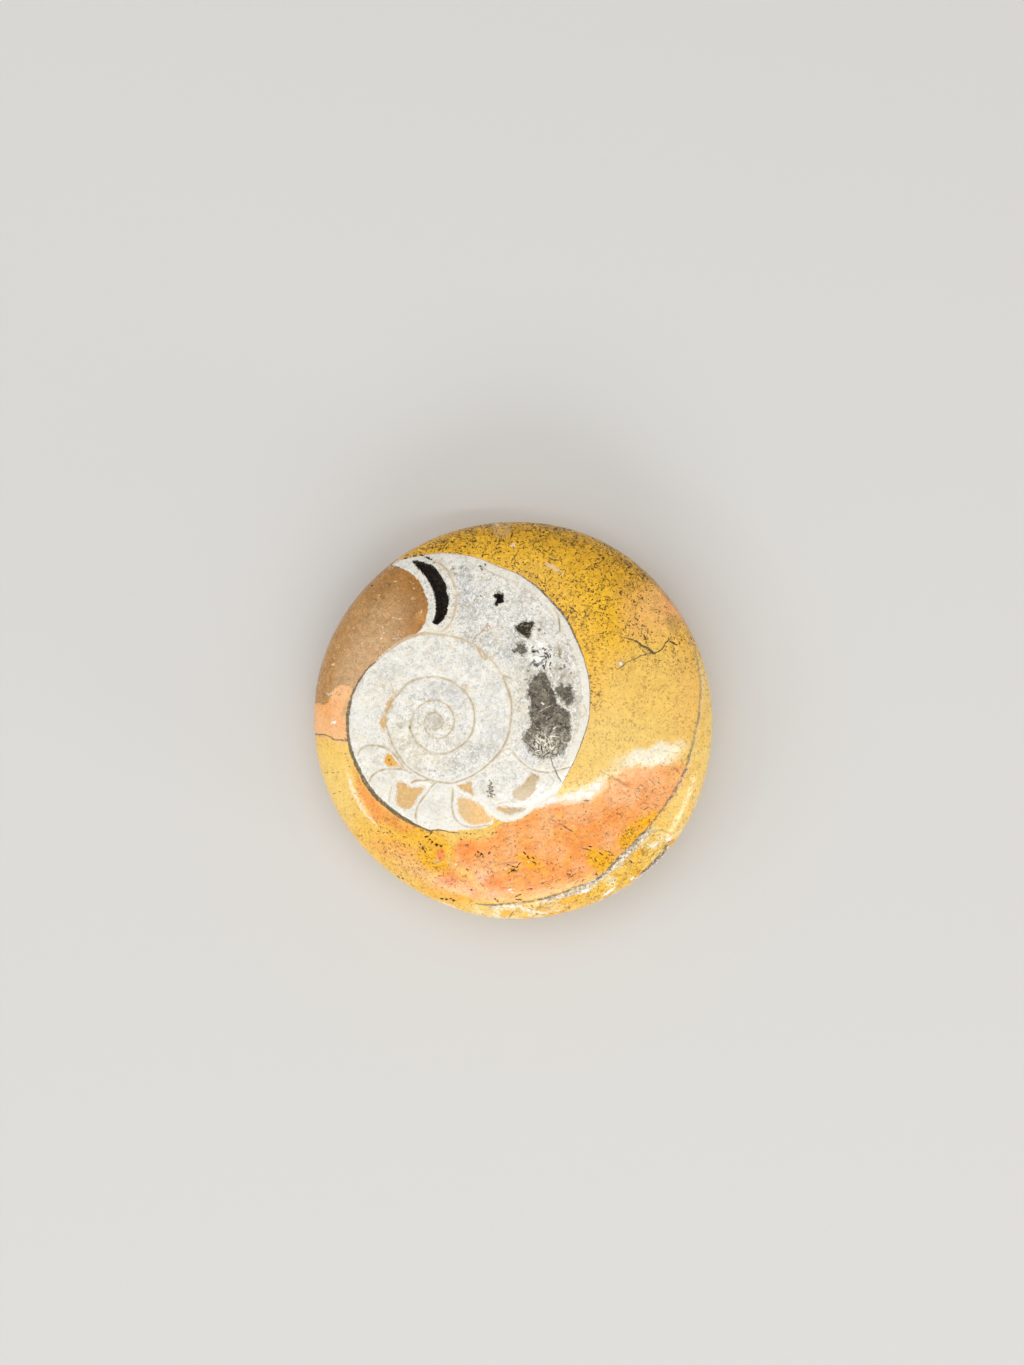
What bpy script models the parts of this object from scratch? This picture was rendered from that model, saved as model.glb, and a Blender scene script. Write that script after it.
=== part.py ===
"""Polished fossil stone: a sliced ammonite in a domed, hand-ground limestone disc.

The stone is one closed solid. It lies on a small flat ground on its underside, with the polished
dome upwards. The origin is the centre of that flat, +Z is up through the dome, and +Y points to
the side of the stone where the ammonite's mouth is.
"""

import math

import bmesh
import bpy
from mathutils import Vector

# Driving dimensions, in metres.
DIAMETER = 0.0700  # mean width of the disc
THICKNESS = 0.0200  # flat to crown
GIRDLE_HEIGHT = 0.0100  # widest level, above the flat
REST_DIAMETER = 0.0300  # the ground flat on the underside
DOME_POWER = 2.15  # 2 is an ellipse; more gives a flatter crown and a rounder rim

# Hand grinding leaves the rim a little out of round: (waves round the rim, height in metres, phase in degrees).
RIM_WAVES = (
    (2, 0.000241, -73.0),
    (3, 0.000182, -165.0),
    (4, 0.000051, -100.0),
    (5, 0.000039, -124.0),
    (6, 0.000042, 109.0),
    (7, 0.000057, 66.0),
)

# The open crescent beside the ammonite's last chamber wall, as it lies on the crown.
CRESCENT_TIP_A = (-0.0172, 0.0271)
CRESCENT_TIP_B = (-0.0130, 0.0163)
CRESCENT_INNER = (-0.0139, 0.0226)  # middle of the side towards the chamber wall
CRESCENT_OUTER = (-0.0113, 0.0222)  # middle of the side towards the calcite
CRESCENT_DEPTH = 0.0022

# The small star-shaped cavity to its right.
STAR_CENTRE = (-0.0025, 0.0210)
STAR_RADII = (0.00105, 0.00055)
STAR_POINTS = 5
STAR_DEPTH = 0.0014

CUT_TAPER = 0.72  # a cavity's floor, against its mouth
ROUND_STEPS = 96
DOME_STEPS = 20
UNDER_STEPS = 12


def clear_scene():
    for obj in list(bpy.data.objects):
        bpy.data.objects.remove(obj, do_unlink=True)


def rim_stretch(angle, level):
    """How far a point is moved out, as a share of its radius. Only the outer part follows the waves."""
    wave = sum(
        height * math.cos(count * angle - math.radians(phase))
        for count, height, phase in RIM_WAVES
    )
    return 1.0 + wave / (DIAMETER / 2) * level**2


def dome_height(radius):
    """Height of the polished surface over the flat, at a radius from the axis."""
    share = min(1.0, radius / (DIAMETER / 2))
    return GIRDLE_HEIGHT + (THICKNESS - GIRDLE_HEIGHT) * (
        1.0 - share**DOME_POWER
    ) ** (1.0 / DOME_POWER)


def profile():
    """Points of the half section, from the crown over the girdle to the flat's centre."""
    half = DIAMETER / 2
    rest = REST_DIAMETER / 2
    points = []
    for step in range(DOME_STEPS + 1):
        turn = math.pi / 2 * step / DOME_STEPS
        share = math.sin(turn) ** (2.0 / DOME_POWER)
        rise = math.cos(turn) ** (2.0 / DOME_POWER)
        if step == DOME_STEPS:
            share, rise = 1.0, 0.0
        points.append(
            (half * share, GIRDLE_HEIGHT + (THICKNESS - GIRDLE_HEIGHT) * rise)
        )
    # The underside is a shallow bowl shape that the flat cuts across.
    depth = GIRDLE_HEIGHT / math.sqrt(1.0 - (rest / half) ** 2)
    start = math.asin(rest / half)
    for step in range(1, UNDER_STEPS + 1):
        turn = math.pi / 2 + (start - math.pi / 2) * step / UNDER_STEPS
        height = GIRDLE_HEIGHT - depth * math.cos(turn)
        points.append((half * math.sin(turn), max(0.0, height)))
    points[-1] = (rest, 0.0)
    points.append((0.0, 0.0))
    return points


def polished_material(name, colour, roughness):
    material = bpy.data.materials.new(name)
    material.use_nodes = True
    shader = material.node_tree.nodes["Principled BSDF"]
    shader.inputs["Base Color"].default_value = (*colour, 1.0)
    shader.inputs["Roughness"].default_value = roughness
    shader.inputs["Metallic"].default_value = 0.0
    material.diffuse_color = (*colour, 1.0)
    return material


def add_object(name, mesh):
    obj = bpy.data.objects.new(name, mesh)
    bpy.context.scene.collection.objects.link(obj)
    return obj


def turned_stone(name):
    """The disc: its half section spun round the axis, then moved out and in along the rim's waves."""
    mesh = bpy.data.meshes.new(name)
    bm = bmesh.new()
    corners = [bm.verts.new((radius, 0.0, height)) for radius, height in profile()]
    edges = [bm.edges.new(pair) for pair in zip(corners, corners[1:])]
    bmesh.ops.spin(
        bm,
        geom=corners + edges,
        cent=(0.0, 0.0, 0.0),
        axis=(0.0, 0.0, 1.0),
        angle=2.0 * math.pi,
        steps=ROUND_STEPS,
        use_merge=True,
    )
    bmesh.ops.remove_doubles(bm, verts=bm.verts, dist=0.000001)
    for vert in bm.verts:
        radius = math.hypot(vert.co.x, vert.co.y)
        if radius > 0.0001:
            stretch = rim_stretch(
                math.atan2(vert.co.y, vert.co.x), radius / (DIAMETER / 2)
            )
            vert.co.x *= stretch
            vert.co.y *= stretch
    # The waves shift the middle of the outline by some hundredths of a millimetre: put it back on the axis.
    shift = outline_shift(bm.verts)
    for vert in bm.verts:
        vert.co -= shift
    bmesh.ops.recalc_face_normals(bm, faces=bm.faces)
    bm.to_mesh(mesh)
    bm.free()
    mesh.shade_smooth()
    mesh.set_sharp_from_angle(angle=math.radians(30.0))
    return add_object(name, mesh)


def outline_shift(verts):
    xs = [vert.co.x for vert in verts]
    ys = [vert.co.y for vert in verts]
    return Vector(((min(xs) + max(xs)) / 2, (min(ys) + max(ys)) / 2, 0.0))


def bent_line(start, pull, end, steps):
    """Points of a curve from start to end, drawn towards the pull point."""
    points = []
    for step in range(steps):
        t = step / steps
        points.append(
            tuple(
                (1 - t) ** 2 * a + 2 * t * (1 - t) * b + t**2 * c
                for a, b, c in zip(start, pull, end)
            )
        )
    return points


def crescent_outline():
    # A bent line passes halfway to its pull point, so each pull point lies twice as far out as the side's middle.
    def beyond(point):
        middle = [(a + b) / 2 for a, b in zip(CRESCENT_TIP_A, CRESCENT_TIP_B)]
        return tuple(m + 2 * (p - m) for m, p in zip(middle, point))

    there = bent_line(CRESCENT_TIP_A, beyond(CRESCENT_OUTER), CRESCENT_TIP_B, 12)
    back = bent_line(CRESCENT_TIP_B, beyond(CRESCENT_INNER), CRESCENT_TIP_A, 12)
    return there + back


def star_outline():
    points = []
    for corner in range(2 * STAR_POINTS):
        turn = math.pi / 2 + math.pi * corner / STAR_POINTS
        radius = STAR_RADII[corner % 2]
        points.append(
            (
                STAR_CENTRE[0] + radius * math.cos(turn),
                STAR_CENTRE[1] + radius * math.sin(turn),
            )
        )
    return points


def cavity_cutter(name, outline, depth):
    """A closed plug with the cavity's outline, narrowing down to its floor."""
    centre_x = sum(p[0] for p in outline) / len(outline)
    centre_y = sum(p[1] for p in outline) / len(outline)
    crown = max(dome_height(math.hypot(x, y)) for x, y in outline)
    lowest = min(dome_height(math.hypot(x, y)) for x, y in outline)
    mesh = bpy.data.meshes.new(name)
    bm = bmesh.new()
    floor = [
        bm.verts.new(
            (
                centre_x + CUT_TAPER * (x - centre_x),
                centre_y + CUT_TAPER * (y - centre_y),
                lowest - depth,
            )
        )
        for x, y in outline
    ]
    bottom = bm.faces.new(floor)
    raised = bmesh.ops.extrude_face_region(bm, geom=[bottom])
    for vert in raised["geom"]:
        if isinstance(vert, bmesh.types.BMVert):
            index = min(
                range(len(floor)),
                key=lambda i: (floor[i].co - vert.co).length,
            )
            vert.co = Vector((*outline[index], crown + 0.001))
    bmesh.ops.recalc_face_normals(bm, faces=bm.faces)
    bm.to_mesh(mesh)
    bm.free()
    cutter = add_object(name, mesh)
    cutter.hide_render = True
    cutter.display_type = "WIRE"
    return cutter


def cut(target, cutter):
    modifier = target.modifiers.new("cut_" + cutter.name, "BOOLEAN")
    modifier.operation = "DIFFERENCE"
    modifier.solver = "EXACT"
    modifier.object = cutter


def main():
    clear_scene()
    stone = turned_stone("fossil_stone")
    stone.data.materials.append(
        polished_material("polished_limestone", (0.80, 0.47, 0.17), 0.12)
    )
    crescent = cavity_cutter("crescent_cutter", crescent_outline(), CRESCENT_DEPTH)
    star = cavity_cutter("star_cutter", star_outline(), STAR_DEPTH)
    cut(stone, crescent)
    cut(stone, star)


main()
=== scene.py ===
"""Looks of the polished fossil stone: a sliced ammonite of white calcite in a domed disc of ochre limestone.

The stone is one closed mesh. Its markings are drawn as curves and outlines, in units of 1/199 of the disc's
radius, seen from above with the ammonite's mouth at the upper left. Each vertex stores how far it lies from
them, and the material turns those distances into crisp edges, lines and grain.
"""

import math

import bmesh
import bpy
import numpy as np
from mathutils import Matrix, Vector


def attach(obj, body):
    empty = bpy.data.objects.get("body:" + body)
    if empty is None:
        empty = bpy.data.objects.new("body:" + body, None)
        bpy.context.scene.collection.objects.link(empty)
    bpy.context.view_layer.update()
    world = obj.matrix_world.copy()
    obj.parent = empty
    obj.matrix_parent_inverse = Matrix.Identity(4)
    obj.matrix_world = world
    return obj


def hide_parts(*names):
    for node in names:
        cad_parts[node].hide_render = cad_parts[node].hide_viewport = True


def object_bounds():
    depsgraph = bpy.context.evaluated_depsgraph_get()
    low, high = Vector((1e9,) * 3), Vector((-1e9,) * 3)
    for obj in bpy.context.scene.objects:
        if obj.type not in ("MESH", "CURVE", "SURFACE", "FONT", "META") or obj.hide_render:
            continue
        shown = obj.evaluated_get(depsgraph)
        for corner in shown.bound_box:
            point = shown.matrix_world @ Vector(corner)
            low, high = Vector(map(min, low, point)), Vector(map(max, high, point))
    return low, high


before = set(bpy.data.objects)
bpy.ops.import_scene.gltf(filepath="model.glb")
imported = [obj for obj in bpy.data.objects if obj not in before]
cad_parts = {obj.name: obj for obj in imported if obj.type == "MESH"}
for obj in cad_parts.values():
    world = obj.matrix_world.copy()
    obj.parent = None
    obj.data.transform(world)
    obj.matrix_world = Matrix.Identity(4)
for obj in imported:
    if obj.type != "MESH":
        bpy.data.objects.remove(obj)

CAD_LOW, CAD_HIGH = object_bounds()

# ---------------------------------------------------------------- sizes, in metres
DIAMETER = 0.0700
THICKNESS = 0.0200
GIRDLE_HEIGHT = 0.0100
REST_DIAMETER = 0.0300
DOME_POWER = 2.15
RIM_WAVES = (
    (2, 0.000241, -73.0),
    (3, 0.000182, -165.0),
    (4, 0.000051, -100.0),
    (5, 0.000039, -124.0),
    (6, 0.000042, 109.0),
    (7, 0.000057, 66.0),
)

UNIT = 0.035 / 199.19  # one design unit
TOP_RINGS = 154
UNDER_RINGS = 88

# The drawing plane: where the camera sees a point of the dome, in design units.
CENTRE_U, CENTRE_V = 513.14, 720.44
EYE_DISTANCE = 0.300  # above the girdle
FRAME_W, FRAME_H = 1024.0, 1365.0
FOCAL = EYE_DISTANCE / UNIT
EYE = Vector(
    (
        (FRAME_W / 2 - CENTRE_U) * UNIT,
        (CENTRE_V - FRAME_H / 2) * UNIT,
        GIRDLE_HEIGHT + EYE_DISTANCE,
    )
)
GIRDLE_RADIUS = 199.19


# ---------------------------------------------------------------- numbers
def lattice(ix, iy, iz, seed):
    h = (
        ix.astype(np.int64) * 73856093
        ^ iy.astype(np.int64) * 19349663
        ^ iz.astype(np.int64) * 83492791
        ^ (seed * 2654435761 & 0xFFFFFFFF)
    ) & 0xFFFFFFFF
    h = (h ^ (h >> 15)) * 2246822519 & 0xFFFFFFFF
    h = (h ^ (h >> 13)) * 3266489917 & 0xFFFFFFFF
    h = h ^ (h >> 16)
    return h.astype(np.float64) / 2147483647.5 - 1.0


def noise(points, size, seed=0):
    """Smooth noise from -1 to 1, with features about size across."""
    p = np.asarray(points, float) / size
    if p.shape[1] == 2:
        p = np.column_stack([p, np.full(len(p), 0.37)])
    i = np.floor(p).astype(np.int64)
    f = p - i
    f = f * f * f * (f * (f * 6 - 15) + 10)
    total = np.zeros(len(p))
    for dx in (0, 1):
        wx = f[:, 0] if dx else 1 - f[:, 0]
        for dy in (0, 1):
            wy = f[:, 1] if dy else 1 - f[:, 1]
            for dz in (0, 1):
                wz = f[:, 2] if dz else 1 - f[:, 2]
                total += (
                    wx
                    * wy
                    * wz
                    * lattice(i[:, 0] + dx, i[:, 1] + dy, i[:, 2] + dz, seed)
                )
    return total


def cloud(points, size, seed=0, octaves=3, keep=0.5):
    total = np.zeros(len(points))
    share, norm = 1.0, 0.0
    for octave in range(octaves):
        total += share * noise(points, size / 2**octave, seed + 17 * octave)
        norm += share
        share *= keep
    return total / norm


def smooth(x, low, high):
    t = np.clip((x - low) / (high - low), 0.0, 1.0)
    return t * t * (3 - 2 * t)


def linear(rgb):
    """A colour as it looks in soft light, 0-255, to the pigment under the polish: the gloss adds a little of its own."""
    c = np.asarray(rgb, float) / 255.0
    c = np.where(c <= 0.04045, c / 12.92, ((c + 0.055) / 1.055) ** 2.4)
    return np.maximum(c - 0.016, 0.004)


def curve(points, closed=False, step=1.0):
    """A smooth curve through the points (any number of columns: the first two are the place)."""
    p = np.asarray(points, float)
    n = len(p)
    if n < 3 and not closed:
        count = max(2, int(np.hypot(*(p[1] - p[0])[:2]) / step) + 1)
        t = np.linspace(0, 1, count)[:, None]
        return p[0] * (1 - t) + p[1] * t
    out = []
    last = n if closed else n - 1
    for k in range(last):
        if closed:
            a, b, c, d = p[(k - 1) % n], p[k], p[(k + 1) % n], p[(k + 2) % n]
        else:
            b, c = p[k], p[k + 1]
            a = p[k - 1] if k else 2 * b - c
            d = p[k + 2] if k + 2 < n else 2 * c - b
        count = max(1, int(math.ceil(np.hypot(*(c - b)[:2]) / step)))
        t = (np.arange(count) / count)[:, None]
        out.append(
            0.5
            * (
                2 * b
                + (c - a) * t
                + (2 * a - 5 * b + 4 * c - d) * t**2
                + (3 * b - a - 3 * c + d) * t**3
            )
        )
    if not closed:
        out.append(p[-1:])
    return np.concatenate(out)


def nearest(points, line, closed=False):
    """Distance to a polyline, the side it is on, the nearest segment, and how far along it."""
    a = line[:, :2]
    b = np.roll(a, -1, axis=0) if closed else a[1:]
    a = a if closed else a[:-1]
    ab = b - a
    length2 = np.maximum((ab**2).sum(1), 1e-12)
    best = np.full(len(points), 1e18)
    seg = np.zeros(len(points), int)
    along = np.zeros(len(points))
    for start in range(0, len(points), 4096):
        p = points[start : start + 4096]
        ap = p[:, None, :] - a[None]
        t = np.clip((ap * ab[None]).sum(2) / length2[None], 0, 1)
        gap = ap - t[..., None] * ab[None]
        d2 = (gap**2).sum(2)
        k = d2.argmin(1)
        rows = np.arange(len(p))
        best[start : start + 4096] = d2[rows, k]
        seg[start : start + 4096] = k
        along[start : start + 4096] = t[rows, k]
    q = points - a[seg]
    side = np.sign(ab[seg, 0] * q[:, 1] - ab[seg, 1] * q[:, 0])
    side[side == 0] = 1.0
    return np.sqrt(best), side, seg, along


def inside(points, line):
    a = line[:, :2]
    b = np.roll(a, -1, axis=0)
    odd = np.zeros(len(points), bool)
    x, y = points[:, 0], points[:, 1]
    for (x0, y0), (x1, y1) in zip(a, b):
        if y0 == y1:
            continue
        cross = (y0 > y) != (y1 > y)
        odd ^= cross & (x < (x1 - x0) * (y - y0) / (y1 - y0) + x0)
    return odd


def region(points, outline, step=2.0, reach=16.0):
    """Signed distance to a closed outline, positive inside, found within reach of it."""
    line = curve(outline, closed=True, step=step)
    low, high = line[:, :2].min(0) - reach, line[:, :2].max(0) + reach
    near = ((points > low) & (points < high)).all(1)
    d = np.full(len(points), -reach)
    if near.any():
        p = points[near]
        dist, _, _, _ = nearest(p, line, closed=True)
        d[near] = np.where(inside(p, line), dist, -dist)
    return d


def spot(points, u, v, ru, rv=None, turn=0.0):
    """Signed distance, roughly, to an ellipse: positive inside."""
    rv = ru if rv is None else rv
    c, s = math.cos(math.radians(turn)), math.sin(math.radians(turn))
    du, dv = points[:, 0] - u, points[:, 1] - v
    a, b = (du * c + dv * s) / ru, (-du * s + dv * c) / rv
    return (1 - np.hypot(a, b)) * min(ru, rv)


# ---------------------------------------------------------------- the stone's shape
def half_sections():
    """Two rows of (radius, height): crown to girdle, and girdle to the flat's centre."""
    half, rest = DIAMETER / 2, REST_DIAMETER / 2
    turn = np.linspace(0, math.pi / 2, 4001)
    top = np.column_stack(
        [
            half * np.sin(turn) ** (2 / DOME_POWER),
            GIRDLE_HEIGHT
            + (THICKNESS - GIRDLE_HEIGHT) * np.cos(turn) ** (2 / DOME_POWER),
        ]
    )
    top[-1] = half, GIRDLE_HEIGHT
    depth = GIRDLE_HEIGHT / math.sqrt(1 - (rest / half) ** 2)
    turn = np.linspace(math.pi / 2, math.asin(rest / half), 2001)
    bowl = np.column_stack([half * np.sin(turn), GIRDLE_HEIGHT - depth * np.cos(turn)])
    bowl[:, 1] = np.maximum(bowl[:, 1], 0.0)
    flat = np.column_stack([np.linspace(rest, 0, 800)[1:], np.zeros(799)])
    return top, np.concatenate([bowl, flat])


def evenly(section, count):
    """count + 1 points along the section, at even spacing, and the spacing's running length."""
    step = np.hypot(*np.diff(section, axis=0).T)
    run = np.concatenate([[0], np.cumsum(step)])
    want = np.linspace(0, run[-1], count + 1)
    return (
        np.column_stack([np.interp(want, run, section[:, k]) for k in (0, 1)]),
        want,
    )


def rim_stretch(angle, level):
    wave = sum(h * np.cos(n * angle - math.radians(ph)) for n, h, ph in RIM_WAVES)
    return 1 + wave / (DIAMETER / 2) * level**2


def ring_start(k):
    return 0 if k == 0 else 1 + 3 * k * (k - 1)


def disc_faces(rings):
    """Triangles of a disc whose ring k holds 6k vertices, as seen with the disc's face up."""
    faces = []
    for k in range(1, rings + 1):
        out0, in0 = ring_start(k), ring_start(k - 1)
        s, i = np.divmod(np.arange(6 * k), k)
        outer = out0 + np.arange(6 * k)
        outer_next = out0 + (np.arange(6 * k) + 1) % (6 * k)
        if k == 1:
            faces.append(
                np.column_stack([outer, outer_next, np.zeros(6, int)])
            )
            continue
        inner = in0 + (s * (k - 1) + i) % (6 * (k - 1))
        faces.append(np.column_stack([outer, outer_next, inner]))
        keep = i < k - 1
        inner_next = in0 + (s * (k - 1) + i + 1) % (6 * (k - 1))
        faces.append(
            np.column_stack([inner[keep], outer_next[keep], inner_next[keep]])
        )
    return np.concatenate(faces)


def stitch(outer, inner):
    """A band of triangles between two rings of vertex numbers that both start at angle 0."""
    faces, i, j = [], 0, 0
    n, m = len(outer), len(inner)
    while i < n or j < m:
        if j >= m or (i < n and (i + 1) * m <= (j + 1) * n):
            faces.append((outer[i % n], inner[j % m], outer[(i + 1) % n]))
            i += 1
        else:
            faces.append((outer[i % n], inner[j % m], inner[(j + 1) % m]))
            j += 1
    return np.array(faces)


def build_points():
    top_section, under_section = half_sections()
    top, top_run = evenly(top_section, TOP_RINGS)
    under, under_run = evenly(under_section, UNDER_RINGS + 1)
    rows, run = [], []
    rows.append([(0.0, 0.0, THICKNESS)])
    run.append([0.0])
    for k in range(1, TOP_RINGS + 1):
        angle = 2 * math.pi * np.arange(6 * k) / (6 * k)
        rows.append(
            np.column_stack(
                [
                    top[k, 0] * np.cos(angle),
                    top[k, 0] * np.sin(angle),
                    np.full(6 * k, top[k, 1]),
                ]
            )
        )
        run.append(np.full(6 * k, top_run[k]))
    top_count = ring_start(TOP_RINGS + 1)
    below = [[(0.0, 0.0, 0.0)]]
    below_run = [[top_run[-1] + under_run[-1]]]
    for k in range(1, UNDER_RINGS + 1):
        at = UNDER_RINGS + 1 - k
        angle = 2 * math.pi * np.arange(6 * k) / (6 * k)
        below.append(
            np.column_stack(
                [
                    under[at, 0] * np.cos(angle),
                    under[at, 0] * np.sin(angle),
                    np.full(6 * k, under[at, 1]),
                ]
            )
        )
        below_run.append(np.full(6 * k, top_run[-1] + under_run[at]))
    points = np.concatenate([np.asarray(r, float) for r in rows + below])
    lengths = np.concatenate([np.asarray(r, float) for r in run + below_run])
    faces_top = disc_faces(TOP_RINGS)
    faces_under = disc_faces(UNDER_RINGS)[:, ::-1] + top_count
    edge_top = ring_start(TOP_RINGS) + np.arange(6 * TOP_RINGS)
    edge_under = top_count + ring_start(UNDER_RINGS) + np.arange(6 * UNDER_RINGS)
    faces = np.concatenate([faces_top, faces_under, stitch(edge_top, edge_under)])
    angle = np.arctan2(points[:, 1], points[:, 0])
    radius = np.hypot(points[:, 0], points[:, 1])
    stretch = rim_stretch(angle, radius / (DIAMETER / 2))
    points[:, :2] *= stretch[:, None]
    low, high = points.min(0), points.max(0)
    points[:, :2] -= (low[:2] + high[:2]) / 2
    # A hair smaller than the solid, so that no point stands out of it.
    fit = min(
        (CAD_HIGH.x - CAD_LOW.x) / (high[0] - low[0]),
        (CAD_HIGH.y - CAD_LOW.y) / (high[1] - low[1]),
    )
    points[:, :2] *= min(1.0, fit) * 0.9999
    return points, faces, top_count, lengths, top_run[-1], angle


def outward(points, faces):
    a, b, c = (points[faces[:, k]] for k in range(3))
    n = np.cross(b - a, c - a)
    out = np.zeros_like(points)
    for k in range(3):
        np.add.at(out, faces[:, k], n)
    return out / np.maximum(np.linalg.norm(out, axis=1), 1e-20)[:, None]


POINTS, FACES, TOP_COUNT, LENGTHS, TOP_LENGTH, ANGLE = build_points()
NORMALS = outward(POINTS, FACES)
COUNT = len(POINTS)
IS_TOP = np.arange(COUNT) < TOP_COUNT

# Place of every vertex on the drawing plane. Past the girdle the plane is unrolled outwards.
seen_u = FRAME_W / 2 + FOCAL * (POINTS[:, 0] - EYE.x) / (EYE.z - POINTS[:, 2])
seen_v = FRAME_H / 2 - FOCAL * (POINTS[:, 1] - EYE.y) / (EYE.z - POINTS[:, 2])
past = (LENGTHS - TOP_LENGTH) / UNIT
UV = np.column_stack([seen_u, seen_v])
out_r = GIRDLE_RADIUS * rim_stretch(ANGLE, 1.0) + past
UV[~IS_TOP] = np.column_stack(
    [CENTRE_U + out_r * np.cos(ANGLE), CENTRE_V - out_r * np.sin(ANGLE)]
)[~IS_TOP]
# Plain plan view, for the underside's own markings.
PLAN = np.column_stack([POINTS[:, 0] / UNIT, POINTS[:, 1] / UNIT])
UNDER = smooth(past, 4.0, 42.0)
P3 = POINTS / UNIT  # solid noise coordinates, in design units

# ---------------------------------------------------------------- colours, as they look in soft light
MUSTARD_DEEP = (212, 160, 54)
MUSTARD = (238, 179, 52)
GOLD = (255, 197, 56)
YELLOW = (250, 206, 112)
STRAW = (251, 216, 130)
PEACH = (250, 190, 112)
SALMON = (254, 177, 108)
CORAL = (254, 160, 82)
SALMON_PALE = (253, 193, 137)
AMBER = (253, 184, 38)
OLIVE = (176, 142, 74)
CREAM = (254, 243, 205)
UMBER = (150, 104, 44)
MUD = (205, 164, 116)
RUST = (182, 134, 80)
MILK = (251, 248, 239)
MIST = (222, 222, 220)
SMOKE = (186, 186, 178)
IVORY = (249, 243, 224)
DIRTY = (198, 190, 172)
SNOW = (253, 252, 248)
PINK = (250, 204, 170)


# ---------------------------------------------------------------- outlines
FOSSIL = [
    (393.4, 565.0), (398, 560.4), (409, 557.6), (420.7, 555.6), (434, 553.8), (447.3, 553.5),
    (461, 555), (475.4, 557.7), (486, 561.5), (496.4, 566.1), (507.5, 570), (518.7, 574.6),
    (528, 580.5), (537.3, 587.5), (546, 595.8), (554.5, 604.7), (561.2, 612.6), (567, 620.5),
    (571, 628.5), (574.6, 636.7), (578.2, 644.5), (581.2, 652.1), (584, 660), (586.1, 668.2),
    (587.8, 676), (588.9, 683.7), (589.5, 692), (589.6, 701), (589.4, 709), (588.7, 717.6),
    (587, 725.4), (584.5, 733.2), (581.5, 742), (578, 751), (574.2, 760), (569.8, 769),
    (565.5, 777), (561.8, 784.5), (556.3, 793), (549, 799), (540, 803.5), (534, 808),
    (527.5, 813.5), (519, 818.8), (508, 821), (499, 819.6), (492.5, 815), (488.6, 812.5),
    (492.5, 819.5), (491.5, 823.5), (484, 826.8), (474, 828.6), (463.8, 829.6), (454, 830.2),
    (446, 829.6), (438, 828.4), (430, 829.0), (422, 826.0), (413, 822.0), (405, 817.0),
    (396, 811.5), (387.6, 805), (379.6, 797.5), (372.6, 789.4), (366.2, 780), (361, 770.6),
    (356.6, 761), (353, 751.5), (350.6, 741.5), (349.2, 731), (349, 720), (350.2, 710),
    (352.2, 700), (355, 691.5), (359.2, 683.5), (364, 675.8), (368.6, 669.6), (375, 663.6),
    (380, 657.6), (385.4, 652.6), (391, 648.2), (397.4, 643.4), (406, 638.6), (414, 635.8),
    (418.2, 633.6), (421.6, 629.4), (424.6, 624.6), (427.0, 617.6), (428.4, 608.6),
    (428.2, 601.4), (426.3, 595.4), (423.6, 588.6), (420.4, 582.4), (416.2, 577.0),
    (411.0, 572.2), (404.6, 568.6), (399.0, 566.4),
]
MUD_ZONE = [
    (393.2, 564.2), (399, 565.6), (405, 568.0), (411.4, 571.6), (416.8, 576.6), (421, 582.2),
    (424.2, 588.4), (427, 595.2), (429, 601.4), (429.2, 608.6), (427.8, 617.8), (425.2, 625.0),
    (422.2, 630.0), (418.6, 634.4), (414, 636.8), (406, 639.6), (397.4, 644.4), (391, 649.2),
    (385.4, 653.6), (380, 658.8), (374, 664.4), (368.2, 669.0), (363, 675.4), (358.4, 682.4),
    (354.2, 689), (350, 686.6), (344, 685.0), (337.5, 686.2), (333.6, 690.4), (330.6, 696.4),
    (328.2, 702.0), (322.8, 704.6), (316.5, 703.0), (308, 704), (290, 708), (268, 700),
    (262, 670), (264, 630), (280, 590), (305, 560), (330, 536), (352, 524), (372, 530),
    (382, 545), (388, 556),
]
CRESCENT = [
    (412.4, 561.8), (416.0, 560.6), (420.6, 561.4), (424.6, 562.6), (428.6, 563.4),
    (432.8, 565.4), (436.6, 569.2), (440.2, 574.6), (442.6, 578.8), (445.2, 582.6),
    (446.6, 588), (447.2, 593.4), (449.4, 598.6), (448.4, 603.4), (447.6, 609.0),
    (446.0, 614.6), (443.2, 619.6), (440.0, 622.6), (437.4, 625.0), (434.8, 624.2),
    (432.7, 622.2), (434.6, 617.0), (435.7, 611.6), (435.9, 605.6), (435.3, 600.0),
    (434.2, 594.4), (432.4, 589.0), (429.8, 583.4), (426.7, 578.4), (423.4, 574.0),
    (419.4, 569.6), (415.4, 565.4),
]
STAR = [
    (493.4, 595.8), (494.4, 593.4), (496.8, 593.8), (499.4, 591.1), (501.0, 593.6),
    (504.0, 593.2), (503.6, 597.2), (503.4, 601.2), (501.2, 603.2), (499.2, 603.0),
    (496.4, 605.8), (493.6, 603.6), (496.2, 600.4), (495.0, 597.8),
]
DARK_TOP = [
    (514.8, 626.0), (518, 624.4), (520.4, 622.4), (524.6, 620.4), (529, 621.4), (533.8, 620.8),
    (534.2, 625.4), (532, 629.2), (531.2, 634), (530.6, 638.4), (526.6, 638.2), (521.4, 634.4),
    (516.4, 631.0),
]
DARK_SECOND = [
    (516.6, 644.4), (520.6, 642.2), (524.6, 643.4), (526.8, 648.2), (526.6, 653.6),
    (521.6, 655.2), (516.6, 653.0), (512.6, 651.6), (515.2, 648.4),
]
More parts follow.
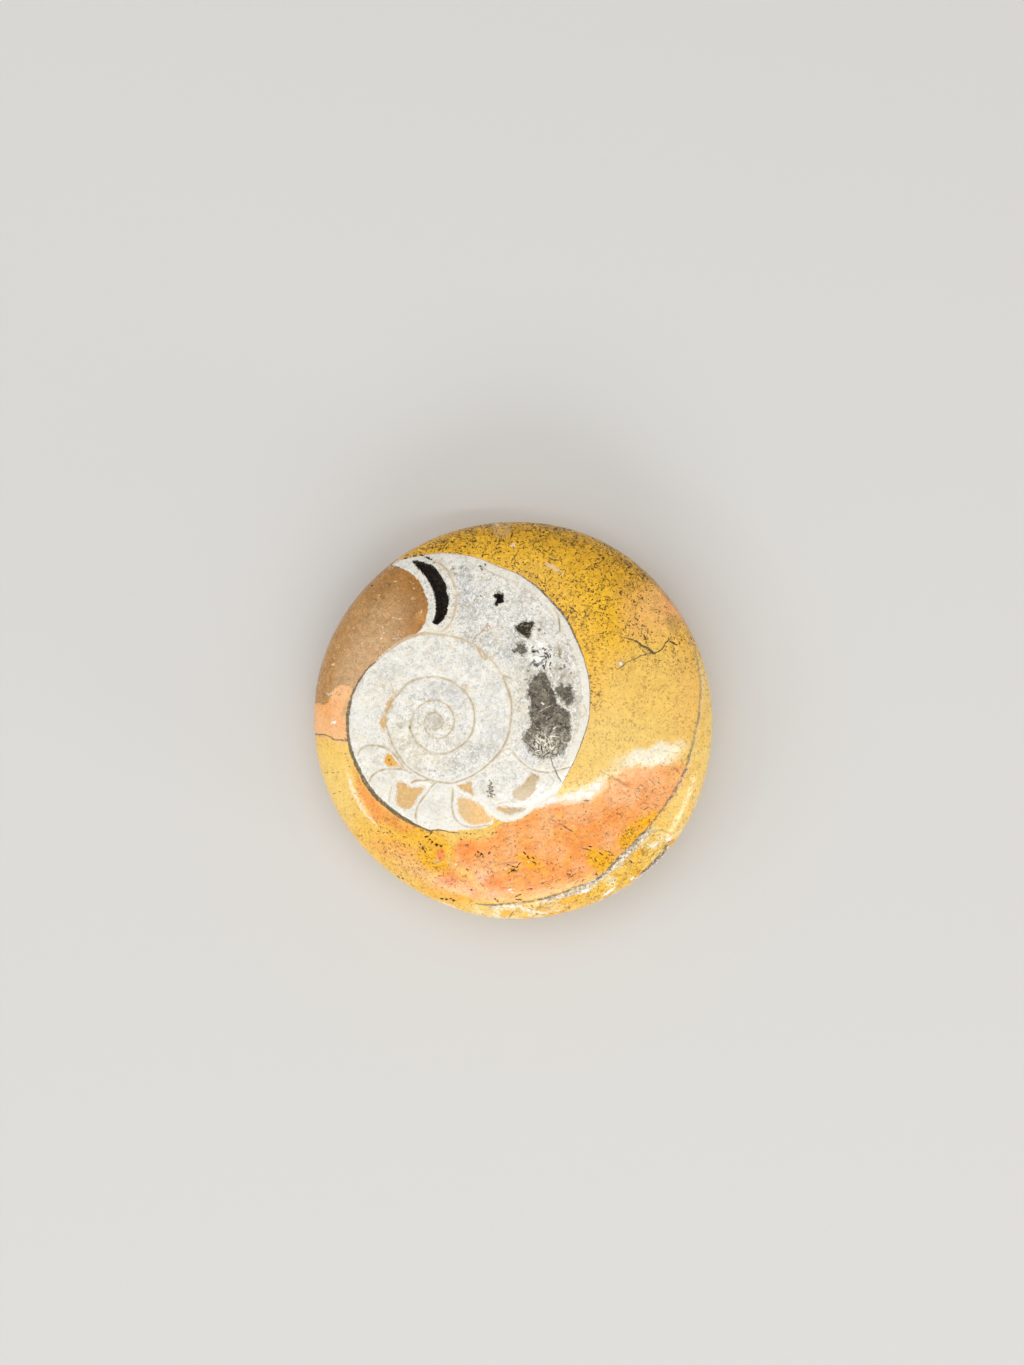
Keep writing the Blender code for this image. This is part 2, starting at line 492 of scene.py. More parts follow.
DARK_MAIN = [
    (534.6, 674.6), (539.4, 670.8), (545.2, 670.6), (548.6, 676.0), (551.8, 683.0),
    (554.8, 690.2), (556.2, 698.0), (560.0, 703.4), (565.4, 707.8), (569.2, 712.0),
    (570.2, 721.0), (570.8, 731.0), (569.8, 738.6), (568.2, 745.6), (564.6, 751.2),
    (558.4, 756.2), (549.8, 757.8), (543.1, 759.8), (536.4, 757.4), (530.4, 752.0),
    (526.2, 745.0), (523.0, 736.0), (526.6, 730.0), (530.2, 726.0), (529.4, 717.0),
    (529.2, 709.0), (529.6, 700.6), (527.0, 693.6), (526.6, 688.0), (529.2, 681.6),
]
DARK_LOBE = [
    (556.8, 686.4), (561.0, 683.2), (565.6, 686.2), (570.2, 683.9), (572.6, 689.4),
    (574.2, 696.2), (572.4, 702.6), (568.4, 707.0), (563.6, 704.6), (558.8, 700.0),
    (556.4, 693.0),
]
TAN_FILLS = [
    [(396.8, 783.4), (400.6, 781.8), (406.2, 784.2), (410.4, 787.4), (416.6, 787.6),
     (425.2, 786.6), (422.8, 791.2), (418.2, 796.0), (414.6, 803.4), (410.3, 808.2),
     (404.9, 809.0), (398.8, 806.2), (395.9, 800.8), (397.2, 791.4)],
    [(456.9, 785.4), (461.6, 784.6), (466.2, 782.8), (470.9, 782.2), (471.9, 788.6),
     (473.8, 795.2), (466.9, 791.8), (461.0, 788.8)],
    [(530.8, 773.4), (536.0, 775.0), (539.4, 777.6), (537.0, 782.4), (535.6, 789.0),
     (529.6, 796.6), (521.2, 800.8), (515.1, 798.6), (512.4, 792.6), (515.7, 787.6),
     (522.6, 784.6), (526.8, 779.6)],
    [(496.6, 808.0), (503, 806.6), (512, 807.4), (520, 808.2), (526, 808.6), (520.4, 811.4),
     (512, 814.0), (503.4, 813.0)],
    [(391.4, 696.2), (394.4, 697.6), (393.0, 700.6), (391.0, 702.4), (392.4, 705.8), (391.0, 709.4),
     (388.2, 710.6), (387.2, 713.8), (385.2, 713.2), (384.8, 709.6), (387.0, 706.6), (386.4, 703.0), (388.6, 700.4)],
    [(382.6, 715.6), (385.0, 714.4), (386.4, 717.2), (388.0, 719.4), (386.4, 722.6), (386.6, 726.4),
     (384.6, 728.4), (384.2, 732.2), (382.0, 731.8), (381.6, 727.0), (379.8, 724.6), (380.4, 720.4)],
]
PEACH_FILL = [
    (457.6, 798.6), (462.6, 797.6), (468.2, 798.2), (475.3, 801.9), (482.2, 806.6),
    (485.6, 812.4), (490.2, 817.2), (492.6, 820.6), (485.5, 823.8), (478.6, 824.8),
    (473, 825.0), (466.6, 822.4), (461.4, 817.6), (458.0, 810.0),
]
YOLK_FILL = [
    (386.2, 754.8), (389.6, 753.6), (393.2, 756.4), (395.4, 760.8), (401.2, 763.4),
    (403.4, 766.2), (398.6, 767.4), (392.8, 767.8), (387.6, 766.0), (384.4, 761.6),
]

AMBER_PATCHES = [
    [(616, 844), (622, 834), (629, 825), (638, 819), (648, 813.6), (656, 810), (660, 813), (655, 822),
     (648, 831), (640, 838.4), (632, 845), (624, 850)],
    [(588, 850.6), (596, 848.6), (604, 848.4), (612, 851.6), (618, 857), (613, 866), (604, 873), (594, 871),
     (587.6, 862)],
]

# ---------------------------------------------------------------- lines: (u, v, half width)
def ring(u, v, radius, half):
    turns = [2 * math.pi * k / 12 for k in range(13)]
    return [(u + radius * math.cos(t), v + radius * math.sin(t), half) for t in turns]


INK = [  # (points, opacity, tone: 0 brown-black to 1 pale grey)
    ([(376, 661.6, 0.4), (371, 665, 0.55), (366, 670, 0.65), (362.3, 675.5, 0.75),
      (357.2, 683.4, 0.9), (353.2, 691.4, 1.1), (350.2, 700.4, 1.35), (348.4, 710.4, 1.5),
      (347.4, 720.4, 1.6), (347.5, 731, 1.55), (348.9, 742, 1.45), (351.3, 752, 1.5),
      (355, 762, 1.65), (359.4, 771.5, 1.8), (364.5, 781, 1.9), (371, 790.5, 2.0),
      (378, 798.5, 1.95), (386, 806, 1.9), (394.5, 812.6, 2.0), (402, 817.9, 1.9),
      (409.5, 821.9, 1.4), (417, 825.7, 0.95), (424, 828.6, 0.75), (430.4, 831.5, 0.75),
      (434.7, 830, 0.7), (442, 830.6, 0.65), (450, 832.2, 0.6), (459.5, 833.4, 0.3)],
     0.94, 0.22),
    ([(300, 737, 0.5), (306, 734.6, 0.6), (312.8, 733.8, 0.7), (318, 734.7, 0.7),
      (325.3, 735.1, 0.65), (330, 737.2, 0.75), (334, 739.4, 0.7), (338, 739.8, 0.65),
      (342, 740.5, 0.75), (346.8, 741.0, 0.8)], 0.85, 0.30),
    ([(620, 637.6, 0.2), (624, 637.4, 0.35), (629.9, 638.9, 0.65), (634, 640.4, 0.8), (639.4, 642.8, 0.9),
      (642.6, 646, 0.9), (647.4, 647.8, 1.1), (650.5, 650.4, 1.05), (653.8, 652.7, 0.9),
      (656.6, 652.4, 0.7), (659.4, 650.8, 0.65), (662, 648.4, 0.6), (664.1, 646.6, 0.6),
      (665.9, 642.6, 0.65), (668.9, 640.2, 0.65), (672.1, 636.5, 0.5)], 0.92, 0.10),
    ([(669.7, 641.0, 0.5), (673, 642.8, 0.95), (677.7, 644.6, 0.6)], 0.95, 0.05),
    ([(688.1, 642.6, 0.6), (692, 643.6, 0.7), (697, 645.6, 0.6), (703, 648, 0.5)], 0.7, 0.25),
    ([(655.2, 653.8, 0.5), (648, 653.4, 0.55), (641.4, 655.8, 0.6), (633.9, 659.2, 0.55),
      (626.5, 662.4, 0.6), (623.2, 665.8, 0.7), (620, 667.9, 0.6), (616.5, 669.6, 0.3)], 0.78, 0.15),
    # the grey seam round the lower right
    ([(684, 628, 0.2), (690, 640, 0.5), (695.3, 650.3, 0.7), (698.6, 664.9, 0.8),
      (700.5, 681.5, 0.8), (700.6, 698, 0.7)], 0.60, 0.74),
    ([(700.5, 694, 0.6), (699, 714.6, 1.0), (696.4, 729.6, 1.05),
      (693.2, 744, 1.1), (691.8, 749, 0.7)], 0.78, 0.52),
    ([(693.6, 742, 0.5), (690, 753.5, 1.35), (686.4, 767, 1.6), (683.4, 774.6, 1.3),
      (680, 781.4, 1.5), (676.4, 788.6, 1.6), (672.4, 795, 1.4), (668, 801.6, 1.2),
      (663.7, 807.7, 1.1), (657.5, 816.2, 0.9), (651.6, 824, 1.0)], 0.85, 0.34),
    ([(651.6, 823, 0.7), (646.6, 829.6, 1.1), (641, 835.4, 1.2), (633.7, 843.7, 1.35),
      (625, 852.4, 1.4), (617.5, 860.2, 1.3), (610, 868.4, 1.1), (602.5, 875.9, 1.0),
      (596, 880.0, 0.9), (589, 883.4, 0.9), (575, 887.9, 1.0), (563.3, 892.9, 0.9),
      (553.4, 896.0, 1.1), (543.3, 899.2, 1.0), (533, 901.4, 0.9), (523.3, 902.8, 1.1),
      (513, 903.6, 0.9), (503.3, 904.4, 0.9), (495, 905.2, 0.9), (486.2, 905.2, 0.7),
      (474, 903.8, 0.3)], 0.88, 0.24),
    ([(669.6, 838.6, 0.4), (667.4, 844.6, 1.1), (662.4, 853.9, 1.4), (655, 861.3, 1.3),
      (647.5, 868.8, 1.3), (640, 875.4, 0.7)], 0.92, 0.05),
    ([(650.2, 832.2, 0.4), (655.6, 830.3, 0.55), (662, 830.4, 0.55), (668, 833.0, 0.5),
      (672, 836, 0.3)], 0.5, 0.6),
    # fine cracks of the salmon zone
    ([(560.4, 823.6, 0.2), (565.4, 827.2, 0.55), (569.6, 829.9, 0.6), (574.2, 832.2, 0.2)], 0.95, 0.0),
    ([(578.6, 847.0, 0.2), (583.6, 848.8, 0.45), (588.4, 849.6, 0.7), (592.4, 851.0, 0.2)], 0.9, 0.0),
    ([(600.9, 848.6, 0.2), (605.6, 850.8, 0.4), (610.7, 852.8, 0.45), (615.3, 857.0, 0.2)], 0.85, 0.0),
    ([(494, 866.7, 0.2), (500.7, 864.0, 0.35), (510, 862.7, 0.35), (518, 862.4, 0.2)], 0.6, 0.1),
    ([(567.0, 873.4, 0.2), (569.4, 876.8, 0.5), (574.2, 874.4, 0.4), (577.0, 872.4, 0.2)], 0.8, 0.05),
    ([(355.5, 834.4, 0.3), (359.4, 836.7, 0.6), (362.8, 835.6, 0.3)], 0.8, 0.1),
    ([(503.6, 925, 0.3), (508.7, 918.7, 0.45), (512.0, 913.6, 0.6), (514.4, 910.7, 0.3)], 0.8, 0.1),
    ([(608.4, 780.4, 0.2), (610.8, 777.2, 0.45), (612.6, 774.4, 0.3)], 0.6, 0.3),
    ([(617.6, 781.4, 0.2), (626, 786.4, 0.3), (636, 790.2, 0.2)], 0.4, 0.3),
    ([(600.0, 771.0, 0.2), (606.0, 773.4, 0.3), (612.0, 777.2, 0.3), (621.7, 782.4, 0.35), (632.0, 788.0, 0.35), (641.3, 792.8, 0.2)], 0.55, 0.2),
    ([(548.0, 818.0, 0.2), (556.0, 822.0, 0.35), (563.0, 826.6, 0.3)], 0.5, 0.2),
    ([(572.0, 832.0, 0.2), (578.6, 838.0, 0.3), (584.0, 846.0, 0.2)], 0.5, 0.2),
    ([(634.0, 792.0, 0.2), (637.0, 797.0, 0.4), (642.0, 800.0, 0.2)], 0.75, 0.05),
    ([(648.0, 778.0, 0.2), (652.0, 782.0, 0.45), (656.0, 786.0, 0.2)], 0.75, 0.05),
    ([(640.0, 806.0, 0.2), (645.0, 803.0, 0.4), (650.0, 806.0, 0.2)], 0.7, 0.05),
    # short straight hairs in the mustard band
    ([(510.0, 565.4, 0.2), (514.2, 556.6, 0.4), (520.0, 548.4, 0.2)], 0.7, 0.05),
    ([(547.0, 581.2, 0.3), (550.2, 579.6, 0.45), (553.2, 576.0, 0.3)], 0.85, 0.0),
    ([(582.0, 612.4, 0.2), (587, 608.6, 0.4), (592.0, 605.2, 0.2)], 0.7, 0.05),
    ([(547.6, 556.0, 0.3), (551.4, 559.0, 0.45), (557.6, 560.2, 0.45), (561.6, 559.2, 0.2)], 0.75, 0.05),
    ([(599.2, 583.2, 0.3), (602.4, 585.8, 0.6), (606.2, 585.6, 0.4)], 0.8, 0.05),
    ([(598.6, 563.6, 0.2), (602.0, 560.2, 0.45), (604.4, 558.0, 0.2)], 0.75, 0.1),
    # marks inside the ammonite
    ([(550.9, 757.6, 0.4), (552.3, 764.3, 0.6), (555.1, 770.0, 0.65), (557.6, 775.6, 0.6),
      (561.6, 782.2, 0.4)], 0.92, 0.22),
    ([(489.4, 779.4, 0.3), (491.4, 783.0, 0.5), (489.6, 786.0, 0.5), (492.0, 789.0, 0.8),
      (490.0, 792.2, 0.7), (492.6, 794.6, 0.8), (489.6, 796.8, 0.4)], 0.85, 0.3),
    ([(530.4, 771.6, 0.3), (533.6, 774.6, 0.45), (536.8, 776.6, 0.3)], 0.6, 0.3),
    ([(532.3, 661.3, 0.5), (534.4, 664.5, 0.9), (537.3, 665.1, 0.9), (540.1, 662.4, 0.8),
      (543.0, 659.9, 0.7), (546.6, 659.1, 0.3)], 0.9, 0.05),
    ([(392.9, 566.4, 0.4), (395.6, 566.8, 0.8), (399.0, 567.9, 0.4)], 0.75, 0.3),
    ([(531.4, 649.4, 0.4), (533.0, 652.0, 0.7), (536.8, 650.8, 0.6), (539.0, 652.8, 0.4)], 0.9, 0.05),
    ([(540.6, 664.6, 0.3), (543.7, 662.4, 0.4), (547.3, 660.6, 0.3)], 0.8, 0.2),
    ([(545.6, 652.6, 0.4), (548.2, 655.6, 0.8), (549.0, 658.8, 0.4)], 0.9, 0.05),
]
BEIGE = [  # (points, opacity)
    ([(385, 652.3, 0.6), (395.8, 644.4, 0.7), (405.7, 638.6, 0.8), (417.3, 634.9, 0.9),
      (428.1, 633.7, 0.9), (439.7, 634.5, 0.8), (451.3, 636.2, 0.75), (463.8, 639.9, 0.75),
      (471.2, 643.2, 0.8), (476.2, 645.9, 0.8), (482.8, 651.5, 0.8), (487.2, 656.4, 0.9),
      (491.6, 660.2, 0.5), (497, 666.6, 0.25), (502, 675, 0.2), (506.1, 685.0, 0.9),
      (508.9, 692.8, 1.1), (511, 700.5, 0.8), (511.7, 710.8, 0.75), (510.7, 722.4, 0.8),
      (508.2, 734.8, 0.8), (503.3, 746.4, 0.9), (496.6, 755.6, 0.9), (484.5, 767.4, 0.7),
      (473, 775.2, 0.6), (461.5, 780.4, 0.65), (451.6, 783.2, 0.7), (443.2, 782.6, 0.75),
      (434.7, 781.2, 0.75), (426.3, 778.2, 0.75), (417.9, 774, 0.75), (410.3, 769.2, 0.8),
      (404.1, 763.3, 0.8), (398.8, 755.7, 0.8), (394.9, 748.8, 0.85), (391.1, 741.1, 0.85),
      (388.3, 732, 0.8), (386.0, 724.2, 0.6), (386.4, 714, 0.5), (390.6, 703.0, 0.7),
      (395.0, 698.0, 0.8), (401.0, 690.5, 0.85), (408.2, 683, 0.9), (416.5, 679.3, 0.85),
      (426.5, 677.2, 0.7), (436.4, 677.0, 0.65), (446.4, 679.3, 0.7), (455.5, 683.8, 0.7),
      (462.9, 690.2, 0.7), (468.9, 697.4, 0.7), (472.9, 706.2, 0.7), (474.5, 715.4, 0.7),
      (473.9, 724.6, 0.7), (471.2, 733.6, 0.7), (466.3, 741.4, 0.75), (457.4, 748.4, 0.9),
      (449.6, 752.2, 1.0), (441.6, 753.9, 0.8), (434, 753.2, 0.9), (427.0, 750.6, 0.8),
      (420.4, 745.4, 0.8), (414.6, 739.0, 0.75), (410.6, 731.0, 0.7), (410.2, 725.4, 0.7),
      (412.6, 717.6, 0.6), (416.0, 710.4, 0.55), (421.4, 704.8, 0.55), (428.1, 701.3, 0.6),
      (435.6, 700.4, 0.6), (443, 702.7, 0.6), (449.4, 707.4, 0.65), (453, 713.7, 0.65),
      (454.2, 720.3, 0.65), (453, 727, 0.65), (449.7, 732.8, 0.65), (444.7, 736.9, 0.65),
      (438.9, 738.6, 0.65), (433.1, 737.0, 0.65), (428.1, 733.4, 0.65), (424.9, 727.8, 0.7),
      (424.4, 722.2, 0.7), (426.1, 717.0, 0.65), (429.6, 713.8, 0.65), (434.3, 712.7, 0.65),
      (439.0, 714.5, 0.6), (442.2, 718.7, 0.6), (442.8, 723.2, 0.6), (440.4, 727.2, 0.6),
      (436.0, 729.2, 0.5), (431.6, 728.4, 0.3)], 0.80),
    # side walls of the outer chambers
    ([(357.4, 756.6, 0.5), (360.0, 750.4, 0.75), (364.0, 746.8, 0.8), (369.6, 745.4, 0.8),
      (376.3, 745.5, 0.8), (384.0, 747.5, 0.8), (391.0, 751.6, 0.75), (396.2, 757.0, 0.75),
      (400.4, 763.0, 0.7), (404.4, 768.4, 0.7), (410.0, 773.6, 0.6)], 0.85),
    ([(368.9, 782.4, 0.6), (371.6, 776.8, 0.75), (376.4, 772.2, 0.8), (382.6, 769.9, 0.8),
      (390.0, 768.9, 0.75), (398.0, 769.1, 0.75), (406.0, 770.6, 0.8), (411.6, 773.4, 0.5)], 0.85),
    ([(440.6, 781.8, 0.6), (435.0, 782.9, 0.75), (430.6, 787.8, 0.75), (426.3, 793.6, 0.75),
      (421.2, 800.4, 0.75), (417.4, 807, 0.8), (415.7, 814, 0.8), (416.6, 820.4, 0.6),
      (417.8, 823.4, 0.3)], 0.85),
    ([(391.7, 786.2, 0.35), (390.4, 792, 0.45), (389.4, 798, 0.45), (389.0, 802.6, 0.3)], 0.6),
    ([(411, 783.4, 0.5), (413.0, 781.8, 0.9), (416.4, 780.7, 0.8), (423.3, 780.4, 0.7),
      (429.6, 780.6, 0.5)], 0.9),
    ([(452.2, 786.4, 0.4), (452.9, 792, 0.75), (452.2, 800, 0.8), (452.0, 808, 0.8),
      (454.2, 816.4, 0.8), (458.8, 822.8, 0.8), (464, 825.8, 0.75), (472, 827.6, 0.7),
      (480, 826.6, 0.6), (490, 824.8, 0.3)], 0.75),
    ([(502.0, 751.0, 0.4), (506.6, 749.4, 0.65), (511.2, 749.3, 0.6), (514.0, 753.6, 0.55),
      (518.2, 758.6, 0.6), (523.4, 763.8, 0.65), (529.8, 768.4, 0.8), (538.1, 771.2, 0.85),
      (546.4, 772.2, 0.85), (554.7, 771.4, 0.8), (563, 768.9, 0.75), (570.4, 767.0, 0.6)], 0.85),
    ([(502.2, 751.0, 0.4), (497.6, 759, 0.4), (494.8, 768, 0.3)], 0.4),
    # the wall right of the open crescent
    ([(424.4, 557.4, 0.3), (430.1, 559.0, 0.55), (438.6, 562.6, 0.65), (445.4, 568.0, 0.7),
      (450.6, 575.8, 0.75), (454.2, 585.0, 0.75), (456.2, 594.4, 0.75), (456.2, 604.0, 0.7),
      (454.2, 614.0, 0.65), (450.4, 623.0, 0.55), (445.6, 628.4, 0.4), (440.6, 632.6, 0.25)], 0.8),
    ([(394.6, 700.6, 0.4), (393.8, 694.0, 0.5), (391.8, 686.4, 0.45), (389.8, 681.0, 0.2)], 0.55),
    ([(461.6, 685.4, 0.3), (466.4, 685.2, 0.55), (465.2, 690.6, 0.3)], 0.5),
    ([(426.0, 750.8, 0.3), (417.6, 744.4, 0.4), (408.4, 743.2, 0.4), (400.4, 746.6, 0.3)], 0.5),
    ([(434.0, 754.6, 0.5), (424.0, 753.8, 0.5), (413.4, 756.0, 0.5), (405.6, 759.0, 0.3)], 0.5),
    ([(476.6, 647.4, 0.5), (482.0, 656.4, 0.9), (484.6, 658.8, 0.6), (490.6, 656.6, 0.5),
      (497.6, 654.6, 0.3)], 0.8),
    ([(501.0, 675.0, 0.3), (505.6, 676.8, 0.9), (512.0, 678.2, 0.5)], 0.75),
    ([(503.6, 680.0, 0.2), (505.6, 684.0, 0.6), (508.0, 690.0, 0.5)], 0.5),
    ([(502, 803.6, 0.5), (498.0, 804.2, 0.6), (506.4, 802.6, 0.5)], 0.4),
    # wavering inner edge of the shell's wall, upper right
    ([(470, 566, 0.3), (482, 567.5, 0.5), (492, 573.5, 0.5), (503, 578, 0.45), (514, 583.6, 0.5),
      (522, 591, 0.5), (527, 599, 0.45), (530, 604, 0.3)], 0.35),
    ([(553.6, 607.6, 0.4), (557.8, 614.8, 0.8), (559.4, 623, 0.7), (560.4, 632.6, 0.4)], 0.75),
    ([(583.4, 704, 0.3), (586.4, 711, 0.6), (582.2, 717.4, 0.5), (578.6, 719.6, 0.3)], 0.45),
    # a cut crinoid stem in the mustard band, and a small round grain
    (ring(501.5, 528.0, 8.2, 0.55), 0.55),
    (ring(501.5, 528.0, 3.5, 0.5), 0.6),
    (ring(620.8, 663.5, 3.2, 0.4), 0.5),
]
WHITE = [
    ([(452.0, 786.4, 0.4), (456.4, 789.4, 0.9), (461.5, 792.2, 1.1), (469.2, 796.2, 1.1),
      (478.4, 800.6, 1.1), (484.0, 804.2, 1.4), (488.4, 809.4, 1.6), (493.4, 814.6, 1.5),
      (500, 817.8, 1.3), (508, 818.8, 1.2), (516, 817.6, 1.1), (523, 813.6, 1.1),
      (530, 808.6, 1.3), (536, 805, 1.5)], 0.9),
    # the left end of the pale band across the lower right: partly white calcite, partly painted highlight
    ([(484.0, 800.4, 0.6), (490.6, 800.6, 1.3), (498, 802.6, 1.3), (506, 803.6, 1.3),
      (514, 804.6, 1.3), (522, 803.6, 1.5), (530, 802.4, 1.6), (538, 801.0, 1.2), (546, 799.0, 0.4)], 0.8),
    ([(527.0, 640.4, 0.5), (528.4, 647.6, 1.1), (529.6, 654, 1.3), (531.2, 660.8, 1.1),
      (532.6, 668.2, 0.4)], 0.95),
    ([(520.4, 637.6, 0.3), (524.4, 639.2, 0.9), (528.2, 640.6, 0.6)], 0.8),
    ([(532.6, 667.2, 0.3), (537.6, 668.8, 0.8), (542.6, 664.8, 0.9), (546.6, 664.4, 1.1),
      (549.4, 670.6, 0.8), (552.6, 677.0, 0.7), (554.4, 683.6, 0.5), (553.6, 689.6, 0.35),
      (556.8, 695.0, 0.45), (558.4, 700.6, 0.6), (563.0, 703.2, 0.7), (565.6, 708.4, 0.7),
      (569.6, 709.8, 0.6), (571.2, 714.6, 0.4), (573.0, 719.0, 0.4), (570.8, 724.0, 0.5),
      (571.8, 730.0, 0.3)], 0.95),
    ([(554.4, 683.6, 0.4), (556.4, 685.6, 0.35), (559.0, 686.4, 0.2)], 0.8),
    ([(558.4, 700.6, 0.4), (560.0, 698.6, 0.35), (562.4, 697.4, 0.2)], 0.8),
    ([(563.0, 703.4, 0.4), (561.6, 706.0, 0.35), (561.4, 709.0, 0.2)], 0.8),
    ([(571.2, 714.6, 0.4), (573.4, 716.6, 0.35), (576.0, 717.2, 0.2)], 0.8),
    ([(570.8, 724.0, 0.4), (573.2, 724.6, 0.35), (575.4, 727.0, 0.2)], 0.7),
    ([(549.4, 670.6, 0.4), (547.0, 672.6, 0.35), (546.4, 676.0, 0.2)], 0.8),
    ([(552.6, 677.2, 0.3), (556.6, 679.6, 0.5), (558.2, 678.4, 0.2)], 0.8),
    ([(565.6, 699.6, 0.2), (564.4, 703.4, 0.45), (566.6, 707.0, 0.4)], 0.8),
    ([(569.2, 709.6, 0.5), (574.6, 709.0, 0.6), (578.2, 705.6, 0.3)], 0.7),
    ([(538.0, 712.8, 0.2), (543.6, 709.0, 0.45), (549.6, 706.2, 0.45), (555.0, 703.6, 0.3)], 0.55),
    ([(478.2, 617.4, 0.3), (486, 617.2, 0.5), (494.6, 616.0, 0.6), (501, 617.6, 0.6),
      (506.6, 620.6, 0.4)], 0.6),
    ([(533.6, 659.6, 0.3), (538, 656.6, 0.8), (543, 656.4, 0.9), (546.4, 660.6, 0.4)], 0.9),
    ([(545.6, 651.8, 0.3), (547.6, 655.8, 0.6), (551.6, 658.0, 0.3)], 0.8),
    ([(415.6, 784.4, 0.3), (420.6, 783.4, 0.9), (427.4, 783.6, 0.9), (431.4, 784.6, 0.3)], 0.9),
    # painted highlight, drawn as a thin cream vein inside the shell's lower left edge, where the fill_left lamp also
    # reflects
    ([(349.4, 777.0, 0.8), (350.6, 786.7, 1.9), (355.4, 796.7, 1.6), (360.8, 806.7, 1.3), (365.4, 814.4, 1.0),
      (376.1, 824.4, 0.3)], 0.62),
    # calcite along the seam and the rim
    ([(602.8, 896.4, 0.4), (607.4, 893.4, 1.0), (612.0, 889.6, 1.0), (615.0, 886.6, 0.4)], 0.85),
    ([(516.0, 904.2, 0.6), (519.6, 906.6, 1.5), (524.6, 909.6, 1.4), (531.6, 911.6, 0.9),
      (540.0, 912.6, 1.1), (548.2, 913.2, 0.4)], 0.9),
    ([(486.6, 907.8, 0.3), (496, 908.0, 0.8), (506.0, 907.0, 0.9), (516.0, 905.2, 0.6)], 0.65),
    ([(666.0, 842.4, 0.4), (669.0, 839.8, 1.3), (671.2, 838.0, 0.5)], 0.85),
    ([(648.4, 846.0, 0.3), (654.4, 842.4, 1.0), (658.6, 841.0, 0.4)], 0.5),
    ([(645.6, 871.6, 0.4), (640.6, 877.6, 0.8), (633.6, 882.6, 0.9), (626.6, 886.8, 0.4)], 0.7),
    ([(663.8, 856.6, 0.2), (658.4, 862.6, 0.6), (652.0, 868.4, 0.5)], 0.7),
    ([(437.6, 900.6, 0.3), (443.4, 903.2, 0.7), (450.0, 905.6, 0.7), (456.0, 908.4, 0.3)], 0.7),
    ([(516.2, 893.4, 0.5), (512.6, 892.6, 0.7), (508.2, 889.4, 0.5)], 0.5),
    ([(485.4, 891.6, 0.2), (487.2, 888.6, 0.2)], 0.2),
    # thin pale marks in the brown mud
    ([(392.4, 638.6, 0.3), (396.8, 638.5, 0.45), (401.2, 638.2, 0.3)], 0.6),
    ([(363.0, 639.6, 0.2), (362.2, 643.0, 0.4), (361.6, 646.4, 0.2)], 0.5),
    ([(325.0, 692.0, 0.3), (328.4, 694.6, 0.6), (332.4, 692.6, 0.6), (335.4, 690.0, 0.3)], 0.75),
    ([(396.0, 618.2, 0.2), (399.0, 619.4, 0.4), (401.4, 617.6, 0.3)], 0.45),
    ([(410.6, 597.6, 0.2), (412.8, 600.6, 0.35), (413.6, 596.6, 0.2)], 0.35),
]
BROWN = [
    ([(488.8, 622.2, 0.3), (486.0, 626.0, 0.8), (482.4, 631.0, 0.9), (477.6, 635.2, 0.7),
      (472.6, 638.6, 0.3)], 0.85),
    ([(487.6, 625.4, 0.3), (490.4, 627.4, 0.8), (491.4, 630.4, 0.3)], 0.6),
    # dark edge of the shell against the rock
    ([(392.6, 566.0, 0.3), (398, 560.2, 0.5), (409, 557.4, 0.5), (420.7, 555.2, 0.5), (434, 553.4, 0.4),
      (447.3, 553.0, 0.3), (475.4, 557.2, 0.3), (496.4, 565.6, 0.4), (507.5, 569.6, 0.5),
      (518.7, 574.2, 0.6), (528, 580.1, 0.8), (537.3, 587.1, 0.9), (546, 595.4, 1.05),
      (554.6, 604.3, 1.1), (561.4, 612.2, 1.2), (567.2, 620.1, 1.1), (571.4, 628.3, 1.0),
      (575, 636.5, 0.95), (578.6, 644.3, 0.8), (581.6, 652.1, 0.7), (584.5, 660, 0.6),
      (586.6, 668.2, 0.5), (588.4, 676, 0.45), (589.4, 684, 0.45), (590, 692, 0.4),
      (590.1, 701, 0.4), (589.8, 709, 0.4), (589.1, 717.6, 0.4), (587.4, 725.4, 0.4),
      (584.9, 733.2, 0.4), (581.9, 742, 0.45), (578.4, 751, 0.45), (574.6, 760, 0.4),
      (570.2, 769, 0.35), (562, 784.5, 0.2)], 0.9),
    # thin rusty line between mud and ammonite
    ([(431.0, 632.8, 0.3), (422.0, 632.6, 0.6), (414, 636.6, 0.7), (406, 639.6, 0.6), (397.4, 644.4, 0.6),
      (391, 649.0, 0.5), (385.4, 653.4, 0.5), (380, 658.4, 0.5), (375, 663.0, 0.45), (368, 668.4, 0.4),
      (362, 675.6, 0.2)], 0.65),
    ([(497.5, 804.4, 0.3), (501.6, 802.8, 0.5), (507.0, 802.6, 0.3)], 0.8),
    ([(558.0, 615.6, 0.4), (559.4, 622.7, 0.8), (559.6, 632.0, 0.5)], 0.55),
]
